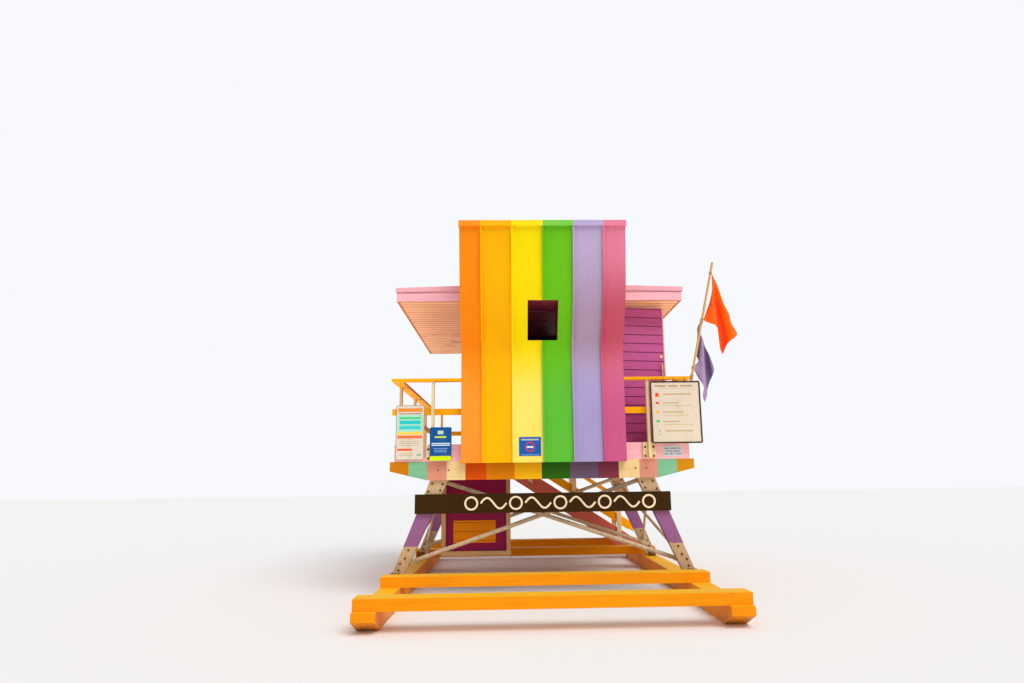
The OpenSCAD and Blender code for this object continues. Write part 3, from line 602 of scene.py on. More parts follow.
beam_edges = [-2.2, -1.88, -1.617, -1.349, -1.086, -0.8, -0.41, -0.022, 0.375, 0.773, 1.065, 1.345,
              1.612, 1.878]
beam_codes = ("#c87a04 #7fbd92 #dc927a #f3d394 #e05200 #e68600 #ffbe0a "
              "#2c6a10 #705a72 #86384a #f3d394 #dc927a #7fbd92 #d08a10").split()
finish = Finish("beam_blocks")
edges = [mid_x + edge for edge in beam_edges]
colour = block_colours(finish, edges, mid_x - beam_edges[0], beam_codes)
layers = timber_layers(finish, colour, "X", 0.35, 0.4)
dress(finish.coat(*layers, 0.0015), "deck_beam_land deck_beam_sea")

# %% Paint the cap of the wave wall
wall_low, wall_high = box("wave_panel_1")[0].x, box("wave_panel_6")[1].x
panel_starts = [box(f"wave_panel_{n}")[0].x for n in range(1, 7)]
finish = Finish("cap_blocks")
cap_codes = "#ff9420 #ffb808 #ffe20c #7cd048 #bbaad2 #ea849c".split()
cap = block_colours(finish, [wall_low - 0.1] + panel_starts[1:], wall_high + 0.1, cap_codes)
wash = finish.noise(1.0, 4.0, stretch=(9, 9, 9))
cap = finish.mix(wash.step(0.45, 0.85) * 0.06, cap, "#f0dcb8")
dress(finish.coat(cap, 0.4 + wash * 0.15, wash, 0.0008), "wave_cap")
print("panels start at", [round(x, 2) for x in panel_starts])

# %% [markdown]
# ## The cabin's walls and the window
# Outside, the walls are magenta, and inside they are painted a dark maroon as painted shade, which
# makes the window read as a hole. A mask on X and Y is 1 inside the cabin. The window is lined in
# the same maroon, but its front edge is covered by the folded sheet, so there the colour follows the
# two stripes.

# %% Paint the walls
cabin_low, cabin_high = box("cabin_wall_left")[0], box("cabin_wall_sea")[1]
cabin_low.y = box("cabin_wall_land")[0].y
inside_x, inside_y = (cabin_low.x + cabin_high.x) / 2, (cabin_low.y + cabin_high.y) / 2
half_x, half_y = inside_x - cabin_low.x - 0.05, cabin_high.y - inside_y - 0.05


def indoors(finish):
    across, along = abs(finish.axis("X") - inside_x), abs(finish.axis("Y") - inside_y)
    return (across < half_x) * (along < half_y)


finish = Finish("cabin_wall")
# inside the cabin the wall is painted dark maroon: painted shade
colour = finish.mix(indoors(finish), "#c45a97", "#58141c")
dress(finish.coat(*timber_layers(finish, colour, "Y", 0.12, 0.3)),
      "cabin_wall_left cabin_wall_right cabin_door_head cabin_wall_land cabin_wall_sea")

# %% Paint the window's lining
finish = Finish("window_lining")
facing = finish.facing("Y") < -0.5
sheet_colour = finish.mix(finish.axis("X") < panel_starts[3], stripes[3], "#ffde1c")
colour = finish.mix(facing, "#8a2a3e", sheet_colour)
dress(finish.coat(*timber_layers(finish, colour, "Z", 0.1, 0.3), 0.0008), "window_lining")

# %% [markdown]
# ## Legs, sled and pipes
# The legs are purple, and their feet and tops are whitewashed. The boundary is a height, so the
# mask is one step on Z, made a little ragged by noise. The sled is orange, its top faces painted
# yellower as painted light; it is scraped by sand, and its lower edges are grey. The pipes are
# galvanised under old cream paint.

# %% Paint the legs
finish = Finish("leg_purple")
height_z = finish.axis("Z") + (finish.noise(14.0, 4.0) - 0.5) * 0.03
white = height_z.math("MAXIMUM", 1 - height_z.step(0.70, 0.712), height_z.step(1.30, 1.31))
colour = finish.mix(white, "#986290", "#ccac84")
shade, rough, height = timber_layers(finish, colour, "Z", 0.45, 0.8)
splash = finish.noise(1.0, 6.0, 0.7, (6, 6, 3))
splash = splash.step(0.46, 0.7) * (1 - height_z.step(0.3, 0.9)) * 0.6
shade = finish.mix(splash, shade, "#8c6844")
dress(finish.coat(shade, rough, height, 0.0015), "leg_land_left leg_land_right leg_sea_left leg_sea_right")

# %% Paint the sled
def sled_paint(name, along):
    finish = Finish(name)
    # faces that look up are painted yellower: painted light on the top
    colour = finish.mix(finish.facing("Z").step(0.5, 0.9), "#ff9a08", "#ffbe1c")
    shade, rough, height = timber_layers(finish, colour, along, 0.55, 0.5)
    scrape = finish.noise(1.0, 7.0, 0.7, (5, 5, 9))
    low = 1 - finish.axis("Z").step(0.0, 0.16)
    shade = finish.mix(scrape.step(0.42, 0.6) * low * 0.8, shade, "#a58c6a")
    ends = abs(finish.axis("Y")).step(3.3, 3.66)
    shade = finish.mix(scrape.step(0.50, 0.60) * ends * low * 0.9, shade, "#5c3c1c")
    return finish.coat(shade, rough, height, 0.0018)


dress(sled_paint("sled_orange_y", "Y"), "skid_left skid_right")
dress(sled_paint("sled_orange_x", "X"), "cross_beams_land cross_beams_sea")

# %% Paint the pipes and the metals
finish = Finish("pipe_cream")
peel = finish.noise(18.0, 6.0, 0.7)
rust = finish.noise(6.0, 6.0, 0.7).step(0.56, 0.7)
colour = finish.mix(peel.step(0.35, 0.8), "#d6c09c", "#b49a78")
colour = finish.mix(rust * 0.3, colour, "#8a5a36")
pipe_paint = finish.coat(colour, 0.35 + rust * 0.35, peel, 0.0003, gloss=0.3)
dress(pipe_paint, "brace_left brace_right")


def pitted(name, noise, steps, codes, smooth, dull, depth, **how):
    """One noise mixes two colours, dulls the shine and pits the surface."""
    finish = Finish(name)
    pits = finish.noise(*noise)
    colour = finish.mix(pits.step(*steps), *codes)
    return finish.coat(colour, smooth + pits * dull, pits, depth, **how)


dress(pitted("weathered_steel", (60.0, 5.0, 0.65), (0.45, 0.7), ("#8f8c86", "#5a4f45"), 0.35, 0.3, 0.0004,
             metal=0.85), "door_hinges")
dress(pitted("handle_brass", (45.0, 4.0, 0.6), (0.4, 0.7), ("#f2dcae", "#c8a468"), 0.28, 0.2, 0.0003,
             metal=0.25, gloss=0.5), "door_hardware")

# %% [markdown]
# ## Deck and soffit boards
# The deck is laid with planks across the joists, and the soffit is close-boarded along the tower's
# width. Both could be one panel with painted lines, but the gaps catch real shadow when they are
# real gaps. Each board has a random shade of its own, which the material reads by name. The
# soffit's joints get a soft dark band of painted shade, a few knots show through, and inside the
# cabin it is painted dark maroon as painted shade.

# %% Lay the boards
soffit_low, soffit_high = box("roof_soffit")
SOFFIT_PITCH = (soffit_high.y - soffit_low.y) / 27


def lay_between(name, node, pitch, gap, material, seed):
    """Fills the node's box with boards along X, and stands for the node."""
    low, high = box(node)
    count = round((high.y - low.y) / pitch)
    pitch = (high.y - low.y) / count
    start = ((low.x + high.x) / 2, low.y + pitch / 2, (low.z + high.z) / 2)
    size = (high.x - low.x, pitch - gap, high.z - low.z)
    boards = grow(laid, name, cloud([]), material, Count=count, Start=start, Step=(0, pitch, 0),
                  Size=size, Seed=seed)
    mount(soften(boards, 0.003), instead_of=[node])


finish = Finish("soffit_peach")
joint = ((finish.axis("Y") - soffit_low.y) / SOFFIT_PITCH).fract()
# a soft dark band along each joint: painted shade of the groove
joint_shade = (abs(joint - 0.5) * 2).step(0.62, 0.96)
shade, rough, height = timber_layers(finish, "#ffc292", "X", 0.05, 0.15, True)
shade = finish.mix(joint_shade * 0.7, shade, "#a8602c")
knots = finish.noise(1.0, 1.0, stretch=(2.4, 7, 7)).step(0.70, 0.75)
shade = finish.mix(knots * 0.7, shade, "#96562a")
# inside the cabin the soffit is painted dark maroon: painted shade
shade = finish.mix(indoors(finish), shade, "#8c2a34")
soffit_paint = finish.coat(shade, rough, height)

finish = Finish("fascia_pink")
colour = finish.mix(finish.facing("Z") < -0.5, "#fcbac4", "#c07848")
dress(finish.coat(*timber_layers(finish, colour, "X", 0.08, 0.2)), "roof_fascia_long roof_fascia_short")

lay_between("deck_boards", "deck_floor", 0.145, 0.006, paints["deck"], 3)
lay_between("soffit_boards", "roof_soffit", SOFFIT_PITCH, 0.008, soffit_paint, 5)

# %% [markdown]
# ## Lap siding
# The cabin and its door are clad in horizontal boards, each lapping over the one below, 134 mm
# apart. Python works out the courses and cuts them round the windows, because that is counting,
# and the tree turns each cut length into a wedge. Under each lap the paint is darker, found from
# the height: that band is painted shade, so the courses read from every side.

# %% Work out the courses
LAP = 0.1335
LAP_FOOT = 2.1125  # height of the lowest lap's lower edge


def lap_paint(name, along):
    """Magenta, a little paler higher up, with painted shade in the band just under each lap."""
    finish = Finish(name)
    height_z = finish.axis("Z")
    colour = finish.mix(height_z.step(2.5, 3.9), "#bc5292", "#d0649e")
    shade, rough, height = timber_layers(finish, colour, along, 0.12, 0.3, True)
    # a dark band just under each lap: painted shade
    course = ((height_z - LAP_FOOT - 0.001) / LAP).fract()
    shade = finish.mix(course.step(0.86, 0.96) * 0.62, shade, "#4a1438")
    return finish.coat(shade, rough, height)


def courses(left, right, low, high, holes=()):
    """Lengths of board as (left, right, low, high), with the holes left out."""
    laps = [LAP_FOOT + LAP * i for i in range(ceil((high - LAP_FOOT) / LAP))]
    laps = [lap for lap in laps if low + 0.03 < lap < high - 0.02]
    lines = sorted({low, high, *laps, *[edge for hole in holes for edge in hole[2:]]})
    boards = []
    for bottom, top in zip(lines, lines[1:]):
        start = left
        for hole in sorted(h for h in holes if h[2] < top - 0.001 and h[3] > bottom + 0.001):
            boards.append((start, hole[0], bottom, top))
            start = hole[1]
        boards.append((start, right, bottom, top))
    return boards


def on_wall(turn, face, rows):
    """Rows for the cloud. The wall faces -Y, +X, +Y or -X at turn 0, 90, 180 or 270."""
    def place(middle, height):
        return (middle, face, height) if turn % 180 == 0 else (face, middle, height)
    return [(place((a + b) / 2, (c + d) / 2), (b - a, 1, d - c), (0, 0, radians(turn)))
            for a, b, c, d in rows]


print("a wall of two metres has", len(courses(0, 1, 2.1, 4.1)), "courses")

# %% Clad the walls
LINING = 0.02
lining_low, lining_high = box("window_lining")
hole_low, hole_high = lining_low.z + LINING, lining_high.z - LINING
half_window = (lining_high.x - lining_low.x) / 2 - LINING
door_end = box("cabin_wall_right")[0].y
quarter_x = (cabin_high.x - cabin_low.x) / 4
side_hole, *sea_holes = [(middle - half_window, middle + half_window, hole_low, hole_high)
                         for middle in (inside_y, mid_x - quarter_x, mid_x + quarter_x)]
CORNER, JAMB = 0.07, 0.06  # widths of the boards at a corner and beside the door
heights = cabin_low.z, cabin_high.z
land_end, sea_end = cabin_low.y + CORNER, cabin_high.y - CORNER
clad = on_wall(270, cabin_low.x, courses(land_end, sea_end, *heights, [side_hole]))
clad += on_wall(90, cabin_high.x, courses(door_end + JAMB, sea_end, *heights))
clad += on_wall(180, cabin_high.y, courses(cabin_low.x + CORNER, cabin_high.x - CORNER, *heights, sea_holes))
siding = grow(lapped, "cabin_siding", cloud(clad), lap_paint("siding_laps", "Y"), Butt=0.014, Top=0.003,
              Seed=7)
mount(siding)

# %% Clad the door
# The door stands open, so its boards are set out on the shut leaf and then swung open with it.
leaf = frame["nodes"]["door_leaf"]
hinge = Vector(frame["joints"][0]["pos_m"])
DOOR_OPEN = radians(80)
opening = Matrix.Rotation(-DOOR_OPEN, 4, "Z")
swing = Matrix.Translation(hinge) @ opening @ Matrix.Translation(-hinge)
shut = [swing.inverted() @ v.co for v in leaf.data.vertices]
leaf_y0, leaf_y1 = min(p.y for p in shut), max(p.y for p in shut)
leaf_z0, leaf_z1 = min(p.z for p in shut), max(p.z for p in shut)
rows = on_wall(90, cabin_high.x, courses(leaf_y0 + 0.066, leaf_y1 - 0.022, leaf_z0, leaf_z1))
door_siding = grow(lapped, "door_siding", cloud(rows), lap_paint("door_laps", "X"), Butt=0.012,
                   Top=0.003, Seed=9)
door_siding.data.transform(swing)
mount(door_siding, "door")
print("leaf from", round(leaf_y0, 3), "to", round(leaf_y1, 3), "when it is shut")

# %% [markdown]
# ## Corner boards, window surrounds and the door's edge
# Siding needs something to end against: upright boards at the corners, flat boards round each
# window, and a pale strip on the door's free edge.

# %% Add the corner boards
def board(x0, x1, y0, y1, z0, z1, colour="#ffffff"):
    """A row for the cloud, with no turn. Each pair may be given from either end."""
    middle = (x0 + x1) / 2, (y0 + y1) / 2, (z0 + z1) / 2
    return middle, (abs(x1 - x0), abs(y1 - y0), abs(z1 - z0)), (0, 0, 0), colour


TRIM = 0.018
corners = []
for x, side_x in ((cabin_low.x, -1), (cabin_high.x, 1)):
    for y, side_y in ((cabin_low.y, -1), (cabin_high.y, 1)):
        if side_y > 0:
            corners.append(board(x, x - side_x * CORNER, y, y + TRIM, *heights))
        if (side_x, side_y) != (1, -1):
            end = y + (side_y > 0) * TRIM
            corners.append(board(x, x + side_x * TRIM, end, y - side_y * CORNER, *heights))
corners.append(board(cabin_high.x, cabin_high.x + TRIM, door_end + 0.006, door_end + JAMB, *heights))
blocks("corner_boards", corners, paints["siding"], 2)

# %% Add the window surrounds and the door's edge
def surround(hole, wide=0.055):
    a, b, c, d = hole
    return [(a - wide, a, c - wide, d + wide), (b, b + wide, c - wide, d + wide), (a, b, c - wide, c),
            (a, b, d, d + wide)]


PROUD = 0.020
window_trim = [board(cabin_low.x - PROUD, cabin_low.x, *sides) for sides in surround(side_hole)]
for hole in sea_holes:
    window_trim += [board(a, b, cabin_high.y, cabin_high.y + PROUD, c, d) for a, b, c, d in surround(hole)]
blocks("window_trim", window_trim, paints["lining"], 4)

edge_row = board(cabin_high.x, cabin_high.x + 0.014, leaf_y1 - 0.021, leaf_y1 - 0.001, leaf_z0, leaf_z1)
strip = grow(placed, "door_edge", cloud([edge_row]), paints["rim"], Seed=1)
strip.data.transform(swing)
mount(soften(strip, 0.002), "door")

# %% [markdown]
# ## The roof's edge
# The metal roof laps over the fascia, and a dark line of shadow shows under its folded edge. A thin
# strip in a darker pink is that painted shadow, on all four sides.

# %% Add the strip of painted shadow under the roof's edge
edge_low, edge_high = box("roof_fascia_long")
edge_z = box("roof_fascia_short")[1].z
shadow_line_z = edge_z - 0.009, edge_z - 0.001
half = 0.003
# thin strips of painted shadow under the roof's folded edge
fold = [board(edge_low.x - half, edge_high.x + half, y - half, y + half, *shadow_line_z)
        for y in (edge_low.y, edge_high.y)]
fold += [board(x - half, x + half, edge_low.y, edge_high.y, *shadow_line_z) for x in (edge_low.x, edge_high.x)]
shadow_line_paint = painted_timber("fold_pink", "#b4707e", "X", 0.0, 0.4)
blocks("roof_edge_fold", fold, shadow_line_paint, 15, edge=0)

# %% [markdown]
# ## The locker's front
# The locker under the deck shows a plum frame round three orange boards, with narrow offcuts above
# and below them. Their heights are uneven on the real one, so they are given one by one.

# %% Board the locker's front
front_low, front_high = box("locker_front")
edges = [0.692, 0.727, 0.854, 0.983, 1.014]
half_gap = 0.002
rows = [board(front_low.x - 0.03, front_high.x - 0.018, front_low.y + 0.006, front_high.y,
              low + half_gap, high - half_gap) for low, high in zip(edges, edges[1:])]
blocks("locker_boards", rows, paints["locker_orange"], 8, 0.003, ["locker_front"])

# %% [markdown]
# ## The raised motif on the name board
# The dark board carries a plain row of rings and waves, cut from wood and painted cream. Each
# stroke is a path in the board's plane, and the tree sweeps a square bar along it, half of it
# sunk into the board. A bar gives real edges and shadows, which a painted line wouldn't.

# %% Draw the rings and waves
board_low, board_high = box("name_board")
board_z = (board_low.z + board_high.z) / 2


def ring(x, y, z, radius, steps=40):
    angles = [pi / 2 + tau * i / steps for i in range(steps)]
    return [(x + radius * cos(a), y, z + radius * sin(a)) for a in angles], True


def wave_stroke(x0, x1, z, height, steps=36):
    shares = [i / steps for i in range(steps + 1)]
    return [(x0 + (x1 - x0) * s, board_low.y, z + height * sin(tau * s)) for s in shares], False


pitch, first, count = 0.617, mid_x - 1.0, 5
strokes = [ring(first + i * pitch, board_low.y, board_z, 0.083) for i in range(count)]
gap = 0.13
strokes += [wave_stroke(first + i * pitch + gap, first + (i + 1) * pitch - gap, board_z, 0.072)
            for i in range(count - 1)]
motif = grow(swept_bar, "board_motif", path_mesh(*strokes), paints["motif"], Depth=0.024, Stroke=0.026)
mount(soften(motif, 0.002))

# %% [markdown]
# ## Signs
# Five plates face the beach, and a lime strip covers the foot of the blue one. A plate is a rounded
# outline given a thickness in mesh code. Its marks are plain blocks and lines. Each is a thin block
# that stands one or two millimetres proud, with its colour on the point it grows from, so one
# material serves them all.

# %% Define a plate
def rounded(x0, x1, z0, z1, radius, steps=6):
    left, right, low, high = x0 + radius, x1 - radius, z0 + radius, z1 - radius
    centres = [(right, low, -90), (right, high, 0), (left, high, 90), (left, low, 180)]
    angles = [(x, z, radians(start + 90 * i / steps)) for x, z, start in centres for i in range(steps + 1)]
    return [(x + radius * cos(a), z + radius * sin(a)) for x, z, a in angles]


PLATE = 0.005


def sign_enamel(name, code, age=0.4):
    finish = Finish(name)
    stain = finish.noise(1.0, 5.0, 0.65, (7, 7, 2))
    specks = finish.noise(90.0, 2.0)
    colour = finish.mix(stain.step(0.45, 0.8) * age, code, "#b08a5c")
    colour = finish.mix(specks.step(0.70, 0.76) * age, colour, "#7a5230")
    return finish.coat(colour, 0.3 + stain * 0.25, stain, 0.0006)


def plate(name, sides, radius, front, enamel, thick=PLATE):
    """A rounded sheet; sides are left and right from the tower's middle, then low and high."""
    left, right, low, high = sides
    outline = rounded(mid_x + left, mid_x + right, low, high, radius)
    shape = bmesh.new()
    bottom = [shape.verts.new((x, front, z)) for x, z in outline]
    top = [shape.verts.new((x, front + thick, z)) for x, z in outline]
    shape.faces.new(bottom)
    shape.faces.new(list(reversed(top)))
    for i in range(len(outline)):
        j = (i + 1) % len(outline)
        shape.faces.new([bottom[j], bottom[i], top[i], top[j]])
    bmesh.ops.recalc_face_normals(shape, faces=shape.faces)
    piece = add_object(name, bpy.data.meshes.new(name))
    shape.to_mesh(piece.data)
    shape.free()
    piece.data.materials.append(sign_enamel(*enamel))
    mount(piece)


print("a rounded corner has", len(rounded(0, 1, 0, 1, 0.1)) // 4, "points")

# %% Define a strip round a plate and the material of the marks
def strip_round(name, sides, radius, front, material, depth, stroke, start=0):
    """A bar swept round a plate's edge; start is the corner point where the sweep begins."""
    left, right, low, high = sides
    points = [(x, front, z) for x, z in rounded(mid_x + left, mid_x + right, low, high, radius)]
    loop = path_mesh((points[start:] + points[:start], True))
    mount(grow(swept_bar, name, loop, material, Depth=depth, Stroke=stroke))


finish = Finish("sign_marks")
faded = finish.noise(30.0, 4.0, 0.7)
colour = finish.mix(faded.step(0.5, 0.8) * 0.25, finish.named("paint")[0], "#d8c4a0")
mark_paint = finish.coat(colour, 0.35 + faded * 0.2)
print("marks are painted with", mark_paint.name)

# %% [markdown]
# ## The five plates and their marks
# Each plate has a front, which is a depth measured from what carries it, and its marks are listed
# from the tower's middle line: left, right, low, high and colour.

# %% List marks from the middle line
TOP_EDGE = 13  # the point of a rounded outline where its top edge starts
rail_front = box("railing_land")[0].y
post_front = rail_front + 0.0255  # the top rail stands out over the posts


def marks_at(front, rows, proud=0.0008):
    """rows are (left, right, low, high, colour) on a plate whose face is at front."""
    depth = front - proud, front - proud + 0.0014
    return [board(mid_x + a, mid_x + b, *depth, c, d, code) for a, b, c, d, code in rows]


def lines(left, right, heights, thick, code):
    """Rows for equal lines above each other."""
    return [(left, right, low, low + thick, code) for low in heights]


print("posts stand", round(post_front - rail_front, 4), "behind the rail's edge")

# %% Make the pale sign
marks = []
pale_front = face_y - 0.033
plate("sign_pale", (-2.057, -1.659, 1.876, 2.640), 0.024, pale_front, ("enamel_pale", "#ddd2c0"))
marks += marks_at(pale_front, [
    (-2.030, -1.686, 2.548, 2.597, "#ef8b2c"), (-2.010, -1.706, 2.516, 2.526, "#8a6a4a"),
    (-2.032, -1.684, 2.266, 2.502, "#9fe0c4"), (-2.032, -1.684, 2.230, 2.266, "#f6cf4a"),
    (-2.032, -1.684, 2.176, 2.216, "#f2703c"),
    *lines(-2.000, -1.734, (2.130, 2.104, 2.078), 0.008, "#c2aa92"),
    (-2.032, -1.826, 2.006, 2.034, "#f0501e"), *lines(-2.000, -1.806, (1.962, 1.938), 0.008, "#c2aa92"),
    (-1.760, -1.700, 1.936, 1.956, "#6ab08a")])
marks += marks_at(pale_front, [
    (-2.006, -1.712, 2.448, 2.472, "#3fc878"), (-2.006, -1.712, 2.376, 2.424, "#22c4c4"),
    (-2.006, -1.712, 2.304, 2.352, "#3ccccc")], 0.0018)
strip_round("sign_pale_edge", (-2.052, -1.664, 1.881, 2.635), 0.020, pale_front,
            painted_timber("edge_tan", "#a88c66", "Z", 0.1, 0.5), 0.003, 0.007)

# %% Make the blue sign
blue_front = post_front - PLATE
plate("sign_blue", (-1.574, -1.271, 1.857, 2.324), 0.024, blue_front, ("enamel_blue", "#0b5294", 0.12))
plate("sign_blue_foot", (-1.569, -1.276, 1.862, 1.926), 0.018, blue_front - 0.001,
      ("enamel_lime", "#d6f000", 0.08), 0.002)
marks += marks_at(blue_front, [
    (-1.505, -1.345, 2.176, 2.198, "#d2e832"), (-1.465, -1.385, 2.226, 2.276, "#b8d8c0"),
    *lines(-1.548, -1.294, (2.092, 2.068), 0.014, "#d8e6f4"), (-1.526, -1.320, 2.026, 2.034, "#7fb0e0"),
    *lines(-1.510, -1.336, (2.002, 1.980), 0.008, "#7fb0e0")])

# %% Make the large sign
big_front = rail_front - 0.008
plate("sign_large", (1.530, 2.246, 2.062, 2.942), 0.022, big_front, ("enamel_cream", "#dfd0ba", 0.3))
bold, thin = "#c0a26c", "#d0b684"
marks += marks_at(big_front, [
    *[(*ends, 2.860, 2.880, "#b09060") for ends in ((1.600, 1.760), (1.790, 1.930), (1.965, 2.140))],
    (1.660, 2.100, 2.833, 2.839, "#cbb080"), (1.604, 1.650, 2.716, 2.774, "#ff4a10"),
    (1.604, 1.650, 2.614, 2.644, "#f03818"), (1.604, 1.650, 2.488, 2.518, "#ffc000"),
    (1.604, 1.650, 2.358, 2.386, "#12c860"), (1.636, 1.656, 2.226, 2.246, "#4cb0b0"),
    (1.636, 1.656, 2.176, 2.196, "#6cc8b8"), (1.712, 2.110, 2.744, 2.760, bold),
    (1.706, 1.921, 2.622, 2.636, bold), (1.706, 2.110, 2.584, 2.593, thin),
    (1.700, 1.993, 2.494, 2.508, bold), (1.700, 2.070, 2.450, 2.459, thin),
    (1.700, 1.930, 2.361, 2.375, bold), (1.713, 2.130, 2.321, 2.330, thin),
    (1.726, 2.114, 2.229, 2.243, bold), (2.004, 2.034, 2.064, 2.080, "#a8481c")])
strip_round("sign_large_frame", (1.541, 2.235, 2.073, 2.931), 0.016, big_front,
            painted_timber("frame_dark", "#43321f", "Z", 0.1, 0.5), 0.012, 0.020, TOP_EDGE)

# %% Make the small sign and the one on the stripe
small_front = face_y - 0.004
plate("sign_small", (1.697, 1.981, 1.890, 2.038), 0.006, small_front, ("enamel_grey", "#d5d6d2", 0.25),
      0.004)
for low, cuts in ((1.992, (1.720, 1.790, 1.806, 1.900, 1.915, 1.955)),
                  (1.952, (1.740, 1.830, 1.850, 1.940)),
                  (1.914, (1.715, 1.770, 1.790, 1.850, 1.880, 1.965))):
    for left, right in zip(cuts[::2], cuts[1::2]):
        marks += marks_at(small_front, lines(left, right, [low], 0.014, "#6a8cae"))
stripe = frame["nodes"]["wave_panel_3"]
_, spot, *_ = stripe.ray_cast((mid_x - 0.18, -5, 2.04), (0, 1, 0))
panel_front = spot.y - 0.003
plate("sign_stripe", (-0.333, -0.028, 1.912, 2.173), 0.004, panel_front, ("enamel_sky", "#1560b8", 0.1),
      0.003)
marks += marks_at(panel_front, [
    (-0.302, -0.058, 2.126, 2.146, "#c4c8a0"), (-0.225, -0.135, 2.022, 2.046, "#e8eef4"),
    (-0.308, -0.052, 1.924, 1.934, "#6c9cd0")])
red_ring = grow(swept_bar, "stripe_ring", path_mesh(ring(mid_x - 0.18, panel_front, 2.034, 0.062)),
                sign_enamel("enamel_red", "#e8281c", 0.1), Depth=0.004, Stroke=0.017)
mount(red_ring)
blocks("sign_marks", marks, mark_paint, 11, edge=0)

# %% [markdown]
# ## What carries the signs
# A plate that floats gives itself away from the side. The pale sign stands on two battens across
# the rim and the rail. The large one hangs from the top rail on four short rusty straps, and two
# blocks hold it off the rim. What is behind a plate can't be seen, so this is the simplest way.

# %% Hang the signs
rail_z = box("railing_land")[1].z
battens = [board(x, x + 0.045, pale_front + PLATE, face_y, 1.880, 2.610)
           for x in (mid_x - 2.02, mid_x - 1.74)]
battens += [board(x, x + 0.06, big_front + PLATE, face_y, 2.065, 2.088)
            for x in (mid_x + 1.62, mid_x + 1.93)]
blocks("sign_battens", battens, paints["cream"], 6)
rusty = painted_timber("rusty_strap", "#9a6c40", "Z", 0.2, 0.6)
straps = [board(mid_x + x, mid_x + x + 0.016, big_front - 0.002, rail_front, 2.915, rail_z - 0.032)
          for x in (1.62, 1.72, 1.86, 2.02)]
blocks("sign_straps", straps, rusty, 6, 0.001)

# %% [markdown]
# ## Bolts
# Rusty bolts hold the clamp blocks, the leg ends, the rail posts and the near side of the stair.
# Each is a point with a turn that carries the bolt's own Z axis to the face it stands on, and the
# tree spins each head by a random angle, because no fitter lines them up.

# %% Place the bolts of the legs and the clamp blocks
QUARTER = pi / 2
FACING = {"-Y": (QUARTER, 0, 0), "+Y": (-QUARTER, 0, 0), "-X": (0, -QUARTER, 0), "+X": (0, QUARTER, 0)}


def bolt_rows(facing, places):
    """places are measured from the tower's middle along X."""
    return [((mid_x + x, y, z), (1, 1, 1), FACING[facing]) for x, y, z in places]


clamp_y = face_y - PLANK
heads = bolt_rows("-Y", [(post + side * 0.060, clamp_y, z) for post in (-1.540, 1.503)
                         for side in (-1, 1) for z in (1.895, 2.022)])
top_bolts = [(1.546, 1.551), (1.434, 1.460), (1.598, 1.445), (1.399, 1.540)]
foot_bolts = [(1.860, 0.663), (1.904, 0.555), (1.969, 0.488), (1.990, 0.400)]
leg_low, leg_high, sea_low, sea_high = [corner.y for leg in ("leg_land_left", "leg_sea_left")
                                        for corner in box(leg)]
for side in (-1, 1):
    for x, z in top_bolts + foot_bolts:
        heads += bolt_rows("-Y", [(side * x, y, z) for y in (leg_low, sea_low)])
        heads += bolt_rows("+Y", [(side * x, y, z) for y in (sea_high, leg_high)])
print(len(heads), "large bolts")

# %% Place the small bolts and set them all
rail_out = half_deck + PLANK
small = bolt_rows("-Y", [(x, face_y, 1.733) for x in (-1.467, -1.316, 1.303, 1.456)])
for side, facing in ((-1, "-X"), (1, "+X")):
    for y in (-0.891, 0.684, 2.259):
        small += bolt_rows(facing, [(side * rail_out, y, z) for z in (1.915, 2.040)])
stair_near = box("stair_rail_near")[0].y
for i in range(3):
    x = -0.05 + 0.885 * i
    line_z = deck_z - (x + 0.715) * STAIR_PITCH + 0.06
    small += bolt_rows("-Y", [(x, stair_near, z) for z in (line_z - 0.12, line_z - 0.23)])
rusted = pitted("rusted_iron", (70.0, 5.0, 0.7), (0.4, 0.65), ("#94602e", "#5c3a1c"), 0.55, 0.35, 0.0006,
                metal=0.3)
for name, rows, size, seed in (("leg_bolts", heads, 0.017, 12), ("small_bolts", small, 0.012, 13)):
    mount(grow(bolts, name, cloud(rows), rusted, Head=size, Seed=seed))

# %% [markdown]
# ## The crossed pipes
# Two pipes cross between the legs on the land side and two on the sea side. The photo shows them
# thicker than the CAD pieces, so these stand in for those. Their ends are hammered flat and bolted
# to the legs. The tree sweeps a round section from end to end, and flat blocks with the pipe's own
# turn are the hammered ends.

# %% Add the crossed pipes
PIPE = 0.030
low_x, low_z, high_x, high_z = 1.9443, 0.455, 1.4535, 1.595
slope = atan2(high_z - low_z, low_x + high_x)
along = Vector((cos(slope), 0, sin(slope)))
pipes, ends = [], []
for axis_y in (leg_high + PIPE, sea_low - PIPE):
    for side in (-1, 1):
        foot = Vector((-low_x, axis_y, low_z)) + along * 0.08
        head = Vector((high_x, axis_y, high_z)) - along * 0.08
        pipes.append(([(mid_x - side * p.x, p.y, p.z) for p in (foot, head)], False))
        flat_y = axis_y + (0.024 if axis_y > 0 else -0.024)
        for p in (foot - along * 0.04, head + along * 0.04):
            ends.append(((mid_x - side * p.x, flat_y, p.z), (0.17, 0.008, 0.07), (0, side * slope, 0)))
pipe_pieces = grow(swept_rope, "brace_pipes", path_mesh(*pipes), pipe_paint, Radius=PIPE, Sides=20)
mount(pipe_pieces, instead_of=["brace_land", "brace_sea"])
blocks("brace_ends", ends, pipe_paint, 16)

# %% [markdown]
# ## Foot plates
# Where a leg stands on its skid, a rusted angle is bolted to both. It is two plates, one up the leg
# and one along the skid.

# %% Add the foot plates
skid_top = box("skid_left")[1].z
STEEL, FLANGE, UPRIGHT = 0.008, 0.07, 0.125
feet = []
for side in (-1, 1):
    width = mid_x + side * 1.965, mid_x + side * 2.105
    for face, out in ((leg_low, -1), (leg_high, 1), (sea_low, -1), (sea_high, 1)):
        steel = face + out * STEEL
        feet.append(board(*width, face, steel, skid_top, skid_top + UPRIGHT))
        feet.append(board(*width, steel, steel + out * FLANGE, skid_top, skid_top + STEEL))
blocks("foot_plates", feet, rusted, 14)
